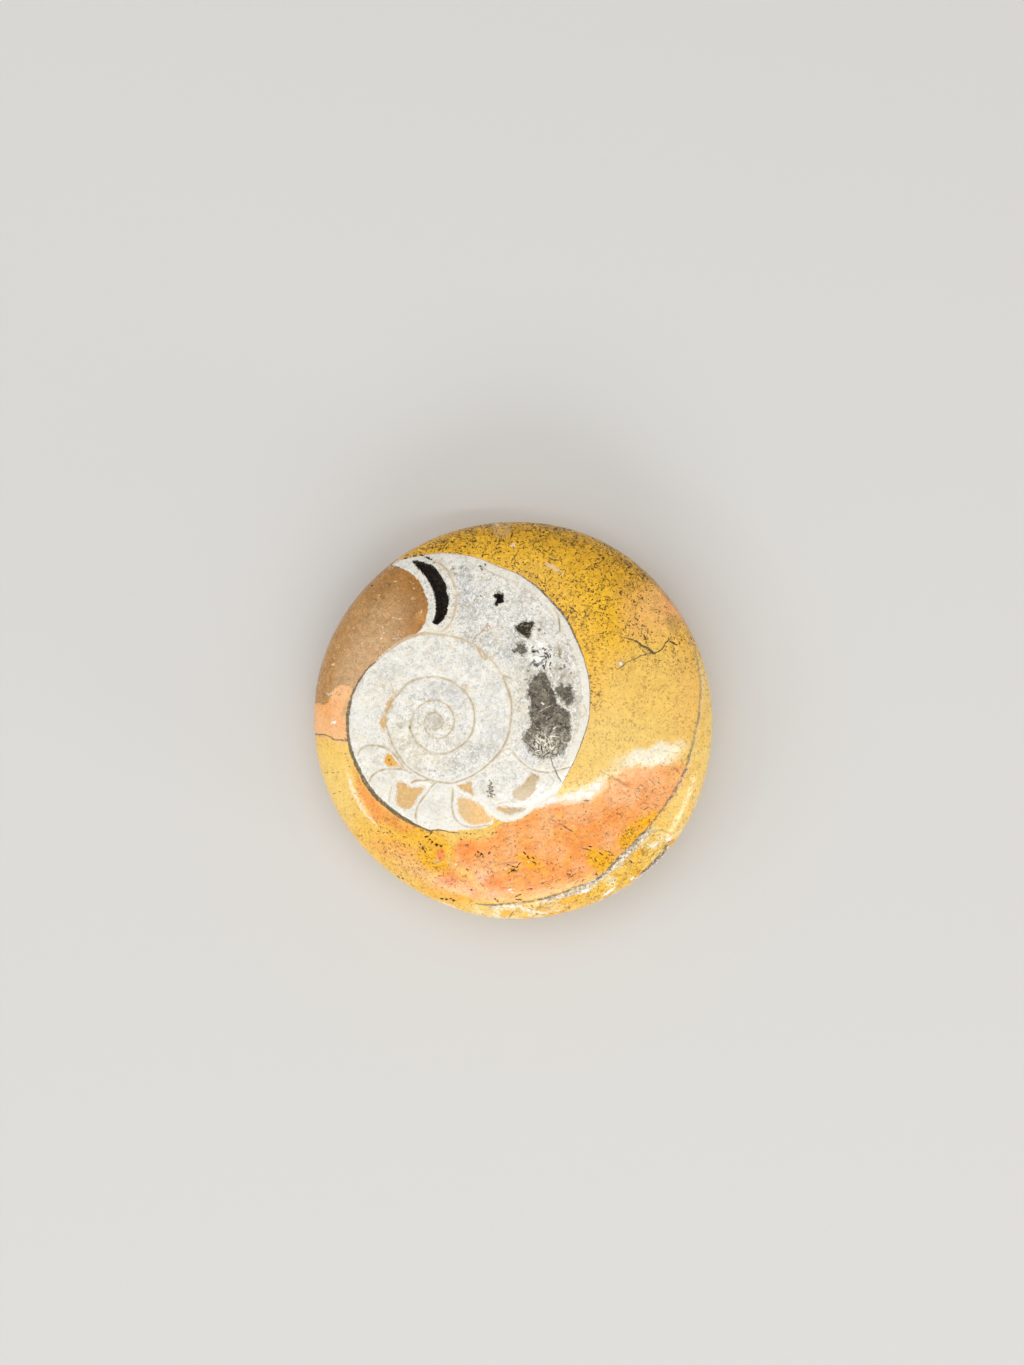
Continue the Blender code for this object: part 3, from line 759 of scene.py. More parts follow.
SEAM = [  # crystals grown along the seam: (points, opacity, tone: 0 grey to 1 pinkish)
    ([(652, 826, 0.6), (646, 833.6, 1.8), (640.4, 840, 2.6), (633.4, 847.2, 2.9), (626, 854.6, 2.9),
      (619, 861.6, 2.7), (612, 868.2, 2.2), (604, 875.4, 2.0), (597, 880.8, 2.4), (588.6, 886.2, 3.5),
      (580, 890, 3.6), (572, 892.6, 2.4), (562, 895.8, 1.8), (552, 898.6, 1.3), (541, 901.2, 0.9)], 0.92, 0.35),
    ([(521, 905.2, 1.0), (512, 906, 1.7), (503, 906.6, 1.9), (494, 907.4, 1.7), (487, 907.5, 0.8)], 0.7, 0.7),
    ([(671.4, 843, 0.7), (666.6, 850.4, 1.6), (660, 858.4, 1.9), (653.4, 865.4, 1.9), (646.4, 871.4, 1.7),
      (640, 876.6, 1.2), (633.0, 881.8, 0.9)], 0.85, 0.1),
    ([(700.9, 664, 0.5), (702.6, 681.5, 0.9), (702.8, 698, 0.9), (701.2, 714.6, 0.9), (698.6, 729.6, 0.9),
      (695.2, 744, 1.0), (691.6, 754.5, 1.1), (688.4, 768, 1.2), (684.4, 777, 1.0), (677.8, 790, 1.0),
      (668.8, 803.6, 0.7)], 0.34, 0.9),
]


def dash(u0, v0, u1, v1, half, tone=0.0):
    """A short straight mark between two places."""
    return (
        (u0 + u1) / 2,
        (v0 + v1) / 2,
        math.hypot(u1 - u0, v1 - v0) / 2 + half * 0.6,
        half,
        math.degrees(math.atan2(v1 - v0, u1 - u0)),
        tone,
    )


DARK_CHIPS = [  # (u, v, half length, half width, turn, tone: 0 black-brown to 1 pale)
    (405.4, 557.9, 2.1, 0.8, -12, 0.05), (413.9, 555.6, 1.8, 1.1, 0, 0.05), (421.4, 555.0, 2.2, 0.9, 10, 0.05),
    dash(425, 556.4, 430.7, 559.3, 1.1), (434.3, 562.5, 1.8, 1.3, 0, 0.6),
    (480.6, 566.2, 2.0, 0.8, 15, 0.1), (481.8, 569.4, 1.2, 0.8, 40, 0.2), (485.2, 564.2, 1.4, 0.7, 45, 0.2),
    (480.8, 596.0, 1.5, 0.8, 20, 0.4), (452.9, 568.6, 1.5, 1.2, 0, 0.75), (455.0, 573.6, 1.3, 1.2, 0, 0.75),
    (371.3, 585.4, 1.2, 0.7, 0, 0.0), (389.6, 584.4, 2.2, 1.5, 60, 0.35), (375.6, 599.4, 1.6, 1.1, 20, 0.4),
    (383.0, 598.0, 1.3, 0.9, 0, 0.45), (409.8, 727.6, 1.8, 0.9, 60, 0.4), (587.0, 568.4, 2.2, 0.4, -40, 0.05),
    (592.6, 568.6, 2.0, 0.4, -45, 0.05), (602.6, 588.8, 2.4, 0.45, -32, 0.05), (611.6, 551.2, 1.4, 0.8, 40, 0.05),
    # round the upper dark patches
    dash(513.0, 649.9, 515.1, 652.7, 0.8), dash(532.3, 647.7, 533.7, 646.3, 0.7), dash(532.6, 651.6, 536.4, 650.9, 0.6),
    dash(537.6, 651.4, 539.2, 652.9, 0.6), dash(544.4, 652.7, 546.6, 654.1, 0.8), dash(547.2, 655.2, 548.7, 657.4, 0.7),
    dash(550.1, 654.1, 550.9, 657.7, 0.7), dash(550.9, 662.0, 549.6, 665.6, 0.7), dash(549.4, 667.2, 550.9, 669.4, 0.6),
    (544.1, 667.0, 2.3, 1.3, 62, 0.0), (539.4, 629.9, 1.9, 1.5, 0, 0.4), (545.1, 633.1, 1.1, 0.9, 0, 0.4),
    (560.5, 668.4, 1.6, 1.2, 0, 0.35), (564.6, 666.4, 2.2, 1.2, 80, 0.35), (528.0, 670.6, 1.6, 1.2, 0, 0.5),
    (525.9, 679.1, 1.8, 1.3, 0, 0.7), (559.8, 654.1, 4.0, 1.4, 85, 0.6), (571.0, 673.0, 1.8, 0.7, -60, 0.5),
    # inside the main dark patch
    dash(541.3, 745.7, 541.6, 750.0, 0.7), (536.0, 706.0, 2.2, 0.8, 60, 0.0), (550.0, 718.0, 2.4, 0.8, -30, 0.0),
    (561.0, 724.0, 2.4, 0.8, 70, 0.0), (538.0, 727.0, 2.0, 0.8, 20, 0.0), (547.0, 690.0, 2.0, 0.8, 70, 0.0),
    # salmon zone
    dash(598.0, 851.4, 602.7, 855.2, 0.5), dash(523.3, 852.0, 526.4, 855.2, 0.7), dash(527.3, 856.0, 528.9, 858.9, 0.8),
    dash(531.3, 856.7, 535.3, 859.3, 0.7), dash(532.9, 862.0, 535.5, 863.0, 0.7), dash(506.0, 864.0, 510.0, 865.4, 0.5),
    dash(511.6, 866.4, 514.6, 867.4, 0.9), dash(516.0, 867.2, 519.3, 866.7, 0.6), dash(520.7, 862.7, 517.4, 866.0, 0.5),
    dash(514.4, 869.3, 511.0, 871.8, 0.8), dash(510.4, 872.2, 508.0, 873.9, 0.5), dash(512.7, 870.0, 516.7, 871.3, 0.5),
    (426.0, 836.7, 1.5, 0.8, -20, 0.0), (430.0, 839.3, 1.2, 0.8, 60, 0.0), (432.2, 842.2, 1.2, 0.9, 50, 0.0),
    (436.2, 844.8, 2.1, 1.3, 30, 0.0), (440.8, 846.2, 1.3, 0.8, 10, 0.0), (430.8, 833.4, 1.4, 0.6, -50, 0.0),
    (418.7, 841.3, 0.9, 0.6, 60, 0.0), (420.7, 844.7, 1.2, 0.8, 60, 0.0), (422.8, 848.5, 2.1, 1.2, 55, 0.0),
    (424.9, 851.9, 1.1, 0.6, 70, 0.0), (427.0, 858.8, 1.2, 0.5, -50, 0.1), (466.7, 833.3, 1.0, 0.5, 0, 0.0),
    (470.4, 834.0, 1.0, 0.5, 0, 0.0), (461.0, 839.4, 1.6, 0.7, 30, 0.1), (466.9, 845.0, 2.0, 0.7, 0, 0.0),
    (478.0, 852.0, 1.3, 0.7, 30, 0.0), (481.3, 854.0, 1.5, 0.9, 40, 0.0), (482.7, 856.6, 1.0, 0.7, 40, 0.0),
    (475.3, 854.6, 1.2, 0.6, -40, 0.0), (478.0, 857.2, 1.2, 0.5, -40, 0.0), (489.2, 853.0, 1.8, 0.9, -35, 0.0),
    (488.0, 833.0, 1.1, 0.5, 0, 0.1), (492.7, 833.0, 1.1, 0.6, 0, 0.1), (496.4, 832.4, 1.0, 0.5, -20, 0.1),
    (467.4, 870.0, 1.6, 0.6, 35, 0.0), (471.3, 890.0, 1.1, 0.7, 0, 0.0), (429.0, 863.0, 1.0, 0.5, 30, 0.1),
    (398.2, 877.2, 1.8, 0.8, 30, 0.0), (402.4, 878.4, 1.3, 0.8, 0, 0.0), (442.2, 899.2, 1.8, 0.9, 10, 0.0),
    (446.6, 899.8, 1.7, 1.0, 0, 0.0), (450.6, 899.0, 1.3, 0.8, -30, 0.0), (453.6, 900.6, 1.7, 0.9, 20, 0.0),
    (495.4, 899.2, 1.2, 0.8, 50, 0.0), (497.4, 901.6, 1.2, 0.7, 30, 0.0), (516.6, 896.4, 1.6, 0.8, -20, 0.0),
    (520.2, 894.8, 1.4, 0.6, -30, 0.0), (516.6, 899.8, 1.5, 0.8, 10, 0.0), (520.6, 900.2, 1.6, 0.9, 0, 0.0),
    (530.4, 888.8, 2.4, 0.5, -8, 0.1), (543.4, 882.8, 2.8, 0.45, -22, 0.1), (587.0, 800.6, 2.6, 1.0, -5, 0.5),
    (561.0, 829.0, 1.2, 0.5, 30, 0.2), (582.0, 838.0, 1.0, 0.5, 10, 0.2), (571.0, 857.0, 1.0, 0.5, 60, 0.2),
    (642.0, 786.0, 1.5, 0.5, 40, 0.25), (646.0, 792.0, 1.2, 0.5, 70, 0.25), (652.4, 791.0, 2.2, 0.5, 80, 0.3),
    (638.0, 788.6, 1.2, 0.6, 20, 0.2), (647.0, 797.0, 1.5, 0.5, -20, 0.25), (659.0, 783.0, 1.4, 0.5, 50, 0.2),
    (664.0, 788.0, 1.2, 0.5, 40, 0.2), (645.6, 809.0, 2.4, 0.5, -32, 0.25), (620.0, 800.0, 1.0, 0.5, 0, 0.3),
    (606.6, 833.0, 1.1, 0.6, 50, 0.2), (586.0, 812.0, 1.0, 0.5, 20, 0.3), (599.0, 822.0, 0.9, 0.5, 10, 0.3),
    (631.6, 833.0, 1.6, 0.5, 60, 0.1), (635.6, 837.0, 1.2, 0.6, 20, 0.1), (628.8, 829.6, 1.2, 0.6, 30, 0.15),
    (595.6, 860.0, 1.6, 0.6, 55, 0.0), (590.6, 846.8, 1.6, 0.8, 10, 0.0), (631.0, 861.6, 1.8, 0.8, 55, 0.1),
    (653.6, 854.6, 1.7, 0.6, -25, 0.1), (573.0, 841.0, 1.0, 0.4, -50, 0.2), (583.0, 880.6, 1.2, 0.6, -60, 0.1),
    (569.6, 874.6, 1.3, 0.6, 60, 0.0), (557.8, 860.2, 1.0, 0.5, 20, 0.1), (596.4, 874.6, 1.2, 0.8, 0, 0.1),
    (345.4, 754.0, 0.8, 0.7, 0, 0.6), (347.4, 760.4, 0.8, 0.7, 0, 0.6), (349.6, 766.6, 0.8, 0.7, 0, 0.6),
    (327.0, 772.6, 1.2, 0.5, 0, 0.4), (332.6, 772.6, 1.2, 0.5, 0, 0.4), (337.6, 772.2, 1.0, 0.5, 0, 0.4),
    (334.0, 793.6, 1.3, 0.5, -18, 0.4), (339.6, 791.6, 1.3, 0.5, -18, 0.4), (380.5, 827.0, 1.1, 0.6, 30, 0.1),
    (378.0, 831.5, 1.0, 0.6, 0, 0.1), (383.6, 833.0, 1.1, 0.5, -20, 0.1), (390.0, 832.0, 1.2, 0.6, 10, 0.1),
    (388.9, 760.3, 1.1, 1.0, 0, 0.15), (391.2, 764.0, 0.7, 0.5, 0, 0.3),
    # a cluster of grey grains above the lens
    (489.4, 780.4, 1.0, 0.5, 60, 0.4), (491.8, 783.2, 1.3, 0.6, 20, 0.3), (488.6, 785.6, 1.1, 0.6, -30, 0.4),
    (492.6, 787.0, 1.2, 0.7, 50, 0.25), (489.6, 789.4, 1.4, 0.8, 0, 0.25), (487.0, 791.4, 1.1, 0.7, 30, 0.35),
    (492.8, 791.2, 1.4, 0.8, -40, 0.2), (490.0, 793.6, 1.2, 0.8, 20, 0.3), (494.4, 794.8, 1.2, 0.7, 0, 0.3),
    (488.2, 796.6, 1.3, 0.7, -20, 0.35), (491.8, 797.2, 1.1, 0.7, 40, 0.3),
    # soft dotted streak in the salmon zone
    (543.6, 860.4, 1.3, 0.4, 20, 0.3), (547.4, 861.6, 1.0, 0.4, 10, 0.3), (551.6, 863.4, 1.3, 0.4, 30, 0.3),
    (556.0, 864.8, 1.0, 0.4, 20, 0.3), (560.4, 867.2, 1.2, 0.4, 30, 0.3),
]
PALE_CHIPS = [  # (u, v, half length, half width, turn, tone: 0 white to 1 pinkish cream)
    (320.4, 612.0, 0.8, 0.7, 0, 1.0), (359.4, 610.6, 0.9, 0.7, 0, 1.0), (353.0, 628.4, 0.9, 0.8, 0, 1.0),
    (382.5, 627.0, 1.1, 0.8, 60, 0.7), (384.0, 633.0, 1.0, 0.8, 0, 0.7), (381.0, 638.4, 1.2, 0.7, -30, 0.7),
    (393.0, 617.5, 0.9, 0.7, 0, 1.0), (400.0, 618.5, 1.6, 0.5, 20, 1.0), (373.0, 641.0, 0.8, 0.6, 0, 1.0),
    (378.0, 645.0, 0.9, 0.7, 0, 0.7), (378.8, 595.0, 1.2, 0.6, -20, 1.0), (413.9, 588.2, 0.9, 0.7, 0, 1.0),
    (413.4, 583.6, 0.7, 0.5, 0, 1.0), (395.0, 581.4, 2.2, 0.45, -10, 1.0), (333.0, 664.4, 2.0, 1.3, -20, 1.0),
    (333.9, 722.5, 2.0, 1.5, 0, 0.1), (421.5, 611.0, 1.7, 0.7, -70, 1.0), (497.0, 525.0, 2.0, 1.4, 20, 1.0),
    (513.0, 544.7, 2.2, 1.9, 0, 0.6), dash(547.2, 563.6, 560.0, 572.0, 2.2, 0.9), (620.8, 663.5, 1.8, 1.7, 0, 0.1),
    (668.7, 840.0, 2.7, 1.4, -30, 0.0), (510.6, 889.4, 3.4, 0.8, -4, 0.2), (632.4, 878.6, 3.2, 0.9, -42, 0.1),
    (608.6, 892.0, 5.6, 1.2, -32, 0.0), (585.6, 891.0, 4.4, 1.6, -14, 0.0), (655.0, 845.0, 4.4, 1.4, -40, 0.3),
    (540.0, 644.0, 3.6, 2.6, 30, 0.0), (537.0, 658.0, 4.2, 2.6, 20, 0.0), (542.6, 703.6, 1.9, 0.9, 35, 0.5),
    (554.4, 728.2, 1.7, 0.8, -20, 0.5), (543.7, 715.7, 1.1, 0.6, 0, 0.5),
    dash(550.1, 736.8, 558.0, 736.1, 0.5, 0.4), dash(548.7, 741.2, 553.7, 741.4, 0.45, 0.4),
    dash(565.1, 742.9, 569.6, 742.9, 0.5, 0.4), dash(535.1, 739.3, 540.4, 744.4, 0.6, 0.3),
    dash(548.0, 742.6, 544.2, 746.0, 0.6, 0.3), dash(535.9, 750.7, 540.1, 750.4, 0.5, 0.3),
    dash(551.0, 749.4, 554.2, 746.0, 0.5, 0.3), (455.6, 864.6, 0.9, 0.8, 0, 0.4), (573.0, 826.0, 1.2, 0.6, 20, 0.7),
    (352.0, 712.0, 0.9, 0.8, 0, 0.2), (528.6, 862.0, 1.4, 0.8, 30, 0.6), (505.0, 869.0, 1.4, 0.8, -30, 0.6),
]


def layer(entries, points, where, columns):
    """Signed distance, half width and the entry's own values, for the nearest line of a set."""
    d = np.full(COUNT, 60.0)
    w = np.full(COUNT, -4.0)
    extra = [np.zeros(COUNT) for _ in range(columns)]
    index_all = np.flatnonzero(where)
    base = points[index_all]
    for entry in entries:
        line = curve(entry[0], step=0.8)
        reach = line[:, 2].max() + 4.5
        low, high = line[:, :2].min(0) - reach, line[:, :2].max(0) + reach
        near = ((base > low) & (base < high)).all(1)
        if not near.any():
            continue
        index = index_all[near]
        dist, side, seg, along = nearest(points[index], line)
        after = np.minimum(seg + 1, len(line) - 1)
        width = np.maximum(line[seg, 2] * (1 - along) + line[after, 2] * along, 0.0)
        # Where the nearest place is the line's own end, the line has stopped.
        ended = ((seg == 0) & (along <= 0)) | ((seg == len(line) - 2) & (along >= 1))
        width = np.where(ended, width - 1.6 * dist, width)
        width -= 2.0 * np.maximum(dist - width.clip(0) - 1.7, 0.0)
        closer = dist - width < np.abs(d[index]) - w[index]
        pick = index[closer]
        d[pick] = (dist * side)[closer]
        w[pick] = np.maximum(width[closer], -4.0)
        for k in range(columns):
            extra[k][pick] = entry[1 + k]
    return d, w, extra


def chips(marks, sets):
    """Small specks, shared out over a few sets so that no two in one set touch.

    Each vertex keeps its place inside the nearest speck, in half lengths and half widths, and how sure that is.
    """
    shared = [[] for _ in range(sets)]
    for mark in marks:
        for group in shared:
            if all(
                math.hypot(mark[0] - m[0], mark[1] - m[1]) > mark[2] + m[2] + 4.6
                for m in group
            ):
                group.append(mark)
                break
        else:
            shared[-1].append(mark)
    out = []
    for group in shared:
        place = np.tile((9.0, 9.0, 0.0), (COUNT, 1))
        tone = np.zeros(COUNT)
        gap = np.full(COUNT, 99.0)
        for u, v, a, b, turn, shade in group:
            index = np.flatnonzero(
                (np.abs(UV[:, 0] - u) < a + 6) & (np.abs(UV[:, 1] - v) < a + 6)
            )
            c, s = math.cos(math.radians(turn)), math.sin(math.radians(turn))
            du, dv = UV[index, 0] - u, UV[index, 1] - v
            x, y = du * c + dv * s, -du * s + dv * c
            dist = np.hypot(np.maximum(np.abs(x) - a, 0), y) - b
            closer = dist < gap[index]
            pick = index[closer]
            gap[pick] = dist[closer]
            place[pick, 0] = (x / a)[closer]
            place[pick, 1] = (y / b)[closer]
            place[pick, 2] = 1 - smooth(dist[closer], 1.7, 3.0)
            tone[pick] = shade
        out.append((place, tone))
    return out


# ---------------------------------------------------------------- painting the ground colours
def paint(ground, colour, weight):
    ground += (linear(colour) - ground) * np.clip(weight, 0, 1)[:, None]


def soft(d, width):
    return smooth(d, -width, width)


def wobbled(points, amount, size, seed):
    p = np.column_stack([points, P3[:, 2]])
    return points + amount * np.column_stack(
        [cloud(p, size, seed), cloud(p, size, seed + 101)]
    )


PALE_AND_HIGHLIGHT_STREAKS = (  # pale streaks below the ammonite, partly the rock's own whitened colour and partly painted highlight where the strip lamp's band falls: (u, v, half length, half width, turn, strength)
    (560, 798, 25, 6.0, -10, 0.92), (586, 792, 19, 5.4, -16, 0.9), (600, 784, 8, 4.0, -50, 0.7),
    (540, 803, 18, 5.0, -8, 0.9), (572, 802, 22, 4.0, -14, 0.45),
)


def rock_ground():
    """Smooth colour of the limestone on the dome and round the rim, with painted highlights in the pale streaks of the
    lower right and painted shade along the upper right rim.
    """
    p = wobbled(UV, 9.0, 30.0, 5)
    q = wobbled(UV, 5.0, 12.0, 9)
    g = np.tile(linear(YELLOW), (COUNT, 1))
    # mustard crown band
    paint(g, GOLD, soft(-(p[:, 1] - 690 - 0.10 * (p[:, 0] - 600)) / 1.0, 55) * 0.9)
    paint(g, GOLD, soft(spot(p, 585, 625, 60, 60), 30))
    paint(g, MUSTARD, soft(region(p, [(330, 540), (420, 505), (520, 490), (620, 520), (680, 560), (700, 600), (670, 612), (640, 600), (600, 575), (560, 556), (520, 548), (470, 548), (420, 556), (380, 572)]), 14))
    paint(g, MUSTARD_DEEP, 0.55 * soft(region(p, [(420, 520), (500, 500), (600, 510), (660, 556), (700, 610), (690, 618), (650, 580), (610, 552), (560, 536), (500, 530), (440, 536)]), 9))
    paint(g, GOLD, 0.9 * soft(spot(p, 560, 590, 30, 17, 35), 10))
    paint(g, GOLD, 0.7 * soft(spot(p, 600, 625, 26, 34), 12))
    paint(g, OLIVE, 0.22 * soft(spot(p, 640, 592, 26, 14, 30), 9))
    paint(g, (255, 192, 94), 0.8 * soft(spot(p, 652, 606, 32, 24, 40), 12))
    paint(g, PEACH, 0.9 * soft(spot(p, 668, 608, 17, 22, -38), 9))
    paint(g, PEACH, 0.7 * soft(spot(p, 652, 622, 26, 22, 0), 14))
    paint(g, SALMON, 0.65 * soft(spot(q, 674, 606, 8, 18, -38), 5))
    paint(g, OLIVE, 0.6 * soft(spot(q, 675, 627, 8, 9, 0), 5))
    # right: light yellow with a peach cast
    paint(g, YELLOW, 0.9 * soft(spot(p, 655, 700, 56, 60), 26))
    paint(g, PEACH, 0.35 * soft(spot(p, 690, 680, 14, 60), 10))
    paint(g, STRAW, 0.6 * soft(spot(p, 610, 745, 50, 26, -20), 18))
    # pale streaks along the edge of the salmon zone: partly the rock's own whitened colour, partly painted highlight
    # where the strip lamp's reflection falls (the broad patch right of the ammonite and the band below it)
    paint(g, CREAM, 0.85 * soft(spot(q, 652, 755, 31, 8.5, -12), 5))
    paint(g, CREAM, 0.45 * soft(spot(q, 628, 766, 24, 8, -24), 6))
    feather = 0.55 + 0.45 * smooth(cloud(np.column_stack([UV, P3[:, 2]]), 5.0, 73), -0.35, 0.30)
    for u, v, a, b, turn, share in (
        *PALE_AND_HIGHLIGHT_STREAKS, (652, 752, 22, 6.5, -14, 0.42), (662, 760, 15, 4.0, -4, 0.42), (634, 761, 11, 3.6, -24, 0.4),
        # a painted highlight: a faint pale streak along the right rim, where the rim_right lamp also reflects
        (690, 806, 5.0, 22, 30, 0.22),
    ):
        paint(g, SNOW, share * feather * soft(spot(q, u, v, a, b, turn), 3.6))
    # salmon zone
    salmon = region(
        q,
        [(505, 824), (530, 812), (552, 806), (580, 801), (598, 796), (610, 782), (622, 772), (640, 768), (662, 766.5), (682, 763), (690, 768), (684, 786), (668, 806), (650, 826), (630, 846), (610, 862), (592, 876), (570, 886), (545, 895), (515, 900), (480, 900), (452, 896), (436, 884), (446, 868), (452, 852), (470, 842), (490, 838)],
    )
    paint(g, SALMON, soft(salmon, 5))
    paint(g, CORAL, 0.8 * soft(spot(p, 600, 822, 40, 16, -30), 12) * soft(salmon, 4))
    paint(g, CORAL, 0.8 * soft(spot(p, 560, 860, 44, 14, -18), 10) * soft(salmon, 4))
    paint(g, CORAL, 0.55 * soft(spot(p, 500, 842, 26, 9, -8), 8) * soft(salmon, 4))
    paint(g, SALMON_PALE, 0.7 * soft(spot(p, 640, 790, 30, 14, -20), 10) * soft(salmon, 4))
    paint(g, SALMON_PALE, 0.55 * soft(spot(p, 560, 822, 36, 8, -18), 7) * soft(salmon, 4))
    paint(g, PINK, 0.8 * soft(spot(q, 483.7, 876, 12, 8, 10), 5))
    paint(g, PINK, 0.65 * soft(spot(q, 462, 890, 8, 6, 20), 4))
    drift = cloud(np.column_stack([UV, P3[:, 2]]), 17.0, 91)
    paint(g, CORAL, 0.55 * soft(salmon, 4) * smooth(drift, 0.05, 0.40))
    paint(g, SALMON_PALE, 0.60 * soft(salmon, 4) * smooth(drift, -0.05, -0.40))
    paint(g, GOLD, 0.25 * soft(salmon, 4) * smooth(cloud(np.column_stack([UV, P3[:, 2]]), 8.0, 93), 0.25, 0.50))
    for outline in AMBER_PATCHES:
        paint(g, AMBER, soft(region(q, outline), 4.5))
    paint(g, AMBER, 0.85 * soft(spot(q, 530, 860, 13, 4.6, 28), 3))
    paint(g, AMBER, 0.8 * soft(spot(q, 513, 869, 8, 4, -30), 3))
    paint(g, AMBER, 0.7 * soft(spot(q, 520, 896, 12, 4, 0), 3))
    paint(g, PEACH, 0.6 * soft(spot(q, 560, 889, 50, 5, -20), 4))
    # golden lower left with a yellow blob
    paint(g, AMBER, 0.75 * soft(spot(p, 415, 842, 26, 14, 20), 10))
    paint(g, AMBER, 0.95 * soft(spot(q, 438.9, 858, 14, 17, 0), 5))
    paint(g, AMBER, 0.8 * soft(spot(q, 442, 893, 24, 6, 14), 4))
    paint(g, AMBER, 0.8 * soft(spot(q, 420, 848, 16, 8, 10), 5))
    paint(g, (252, 192, 70), 0.6 * soft(spot(p, 405, 852, 56, 24, 32), 14))
    paint(g, SALMON_PALE, 0.55 * soft(spot(p, 405, 858, 20, 12, 35), 9))
    paint(g, CORAL, 0.45 * soft(spot(q, 398, 846, 16, 6, 34), 4))
    paint(g, SALMON_PALE, 0.6 * soft(spot(p, 430, 878, 24, 9, 28), 7))
    paint(g, AMBER, 0.85 * soft(spot(q, 430, 862, 13, 9, 20), 4))
    paint(g, (255, 148, 76), 0.85 * soft(spot(q, 447, 879, 11, 7, 12), 3.0))
    paint(g, (255, 148, 76), 0.75 * soft(spot(q, 466, 849, 10, 11, -20), 4))
    paint(g, (255, 148, 76), 0.70 * soft(spot(q, 496, 884, 13, 5, 4), 3.0))
    paint(g, SALMON, 0.55 * soft(spot(q, 380, 846, 8, 12, -40), 5))
    paint(g, (250, 140, 84), 0.95 * soft(spot(UV, 440.8, 854.5, 4.2, 6.0, 0), 1.3))
    paint(g, MIST, 0.6 * soft(spot(UV, 437.0, 861.0, 1.6, 2.2), 1.0))
    paint(g, STRAW, 0.8 * soft(spot(UV, 448.4, 858, 1.4, 9, 0), 1.2))
    paint(g, STRAW, 0.6 * soft(spot(q, 462, 872, 22, 3.4, 38), 2.6))
    paint(g, CORAL, 0.7 * soft(region(q, [(353, 766), (360, 778), (368, 790), (378, 801), (390, 811), (404, 820), (416, 827), (404, 832), (390, 826), (377, 822), (366, 806), (357, 790)]), 4))
    paint(g, CORAL, 0.6 * soft(spot(q, 372, 803, 8, 16, -38), 5))
    # left: straw yellow, and the salmon patch below the mud
    paint(g, YELLOW, 0.8 * soft(spot(p, 330, 775, 18, 36, -15), 10))
    paint(g, STRAW, 0.7 * soft(spot(p, 336, 790, 12, 30, -20), 8))
    patch = region(q, [(352, 682), (354, 690), (351, 700), (348.6, 712), (347.6, 726), (346, 741), (335, 742), (322, 738), (305, 738), (290, 735), (288, 705), (310, 690), (330, 684)])
    paint(g, SALMON_PALE, 0.95 * soft(patch, 5))
    paint(g, SALMON, 0.6 * soft(spot(q, 330, 708, 14, 12), 6) * soft(patch, 2))
    paint(g, SALMON, 0.45 * soft(spot(q, 341, 726, 6, 10), 4) * soft(patch, 2))
    paint(g, MUD, 0.75 * soft(spot(q, 345.6, 709, 2.6, 10, 12), 2))
    # outside the seam: a straw-yellow margin
    margin = region(
        UV,
        [(700, 655), (701.8, 681), (701.8, 698), (700.2, 715), (697.4, 730), (694.2, 745), (690.4, 756), (687.4, 768), (681, 782), (673.4, 796), (664, 809), (652, 825), (641, 837), (626, 853), (611, 869), (597, 881), (576, 889.4), (555, 897), (524, 904.4), (500, 906.4), (486, 907), (474, 905.4), (470, 940), (540, 980), (640, 940), (720, 860), (760, 760), (760, 660)],
        reach=30,
    )
    paint(g, STRAW, 0.8 * soft(margin, 1.2))
    paint(g, GOLD, 0.65 * soft(margin, 1.2) * soft(spot(p, 600, 900, 80, 24, -34), 14))
    low = smooth(UV[:, 1], 815, 845)
    paint(g, AMBER, (0.2 + 0.6 * low) * soft(margin, 1.2) * smooth(cloud(np.column_stack([UV, P3[:, 2]]), 13, 71), -0.1, 0.3))
    paint(g, CREAM, 0.7 * low * soft(margin, 1.2) * smooth(cloud(np.column_stack([UV, P3[:, 2]]), 9, 75), 0.12, 0.45))
    paint(g, UMBER, 0.30 * low * soft(margin, 1.2) * smooth(cloud(np.column_stack([UV, P3[:, 2]]), 7, 77), 0.18, 0.5))
    paint(g, PEACH, 0.3 * soft(margin, 1.2) * soft(spot(p, 560, 905, 40, 7, -8), 4))
    paint(g, DIRTY, 0.40 * soft(margin, 1.0) * soft(region(UV, [(655, 823), (648, 838), (630, 858), (610, 875), (590, 889), (560, 900), (540, 903), (545, 897), (575, 888), (597, 879), (612, 866), (628, 850), (643, 834)]), 2.5))
    # painted shade: a darker brown band along the upper right rim, away from the lamps
    paint(g, UMBER, 0.38 * soft(region(UV, [(640, 573), (655, 586), (668, 600), (680, 616), (692, 640), (697, 638), (690, 616), (676, 596), (662, 580), (646, 568)]), 2.0))
    return g


def underside_ground():
    """Smooth colour of the same limestone underneath, where it runs on in broad clouds."""
    p = wobbled(PLAN, 26.0, 60.0, 31)
    q = wobbled(PLAN, 12.0, 26.0, 33)
    g = np.tile(linear(YELLOW), (COUNT, 1))
    paint(g, GOLD, 0.9 * soft(p[:, 1] - 30 - 0.2 * p[:, 0], 50))
    paint(g, MUSTARD, 0.8 * soft(p[:, 1] - 105, 30))
    paint(g, STRAW, 0.7 * soft(spot(p, 90, -60, 70, 50, 20), 30))
    paint(g, SALMON, 0.85 * soft(spot(q, -10, -100, 110, 42, 8), 14))
    paint(g, CORAL, 0.6 * soft(spot(q, 24, -96, 60, 20, 4), 12))
    paint(g, SALMON_PALE, 0.75 * soft(spot(q, -120, -20, 44, 60, 10), 18))
    paint(g, AMBER, 0.7 * soft(spot(q, -30, 20, 60, 34, -20), 18))
    paint(g, STRAW, 0.5 * soft(spot(q, 50, 40, 36, 20, -30), 14))
    return g


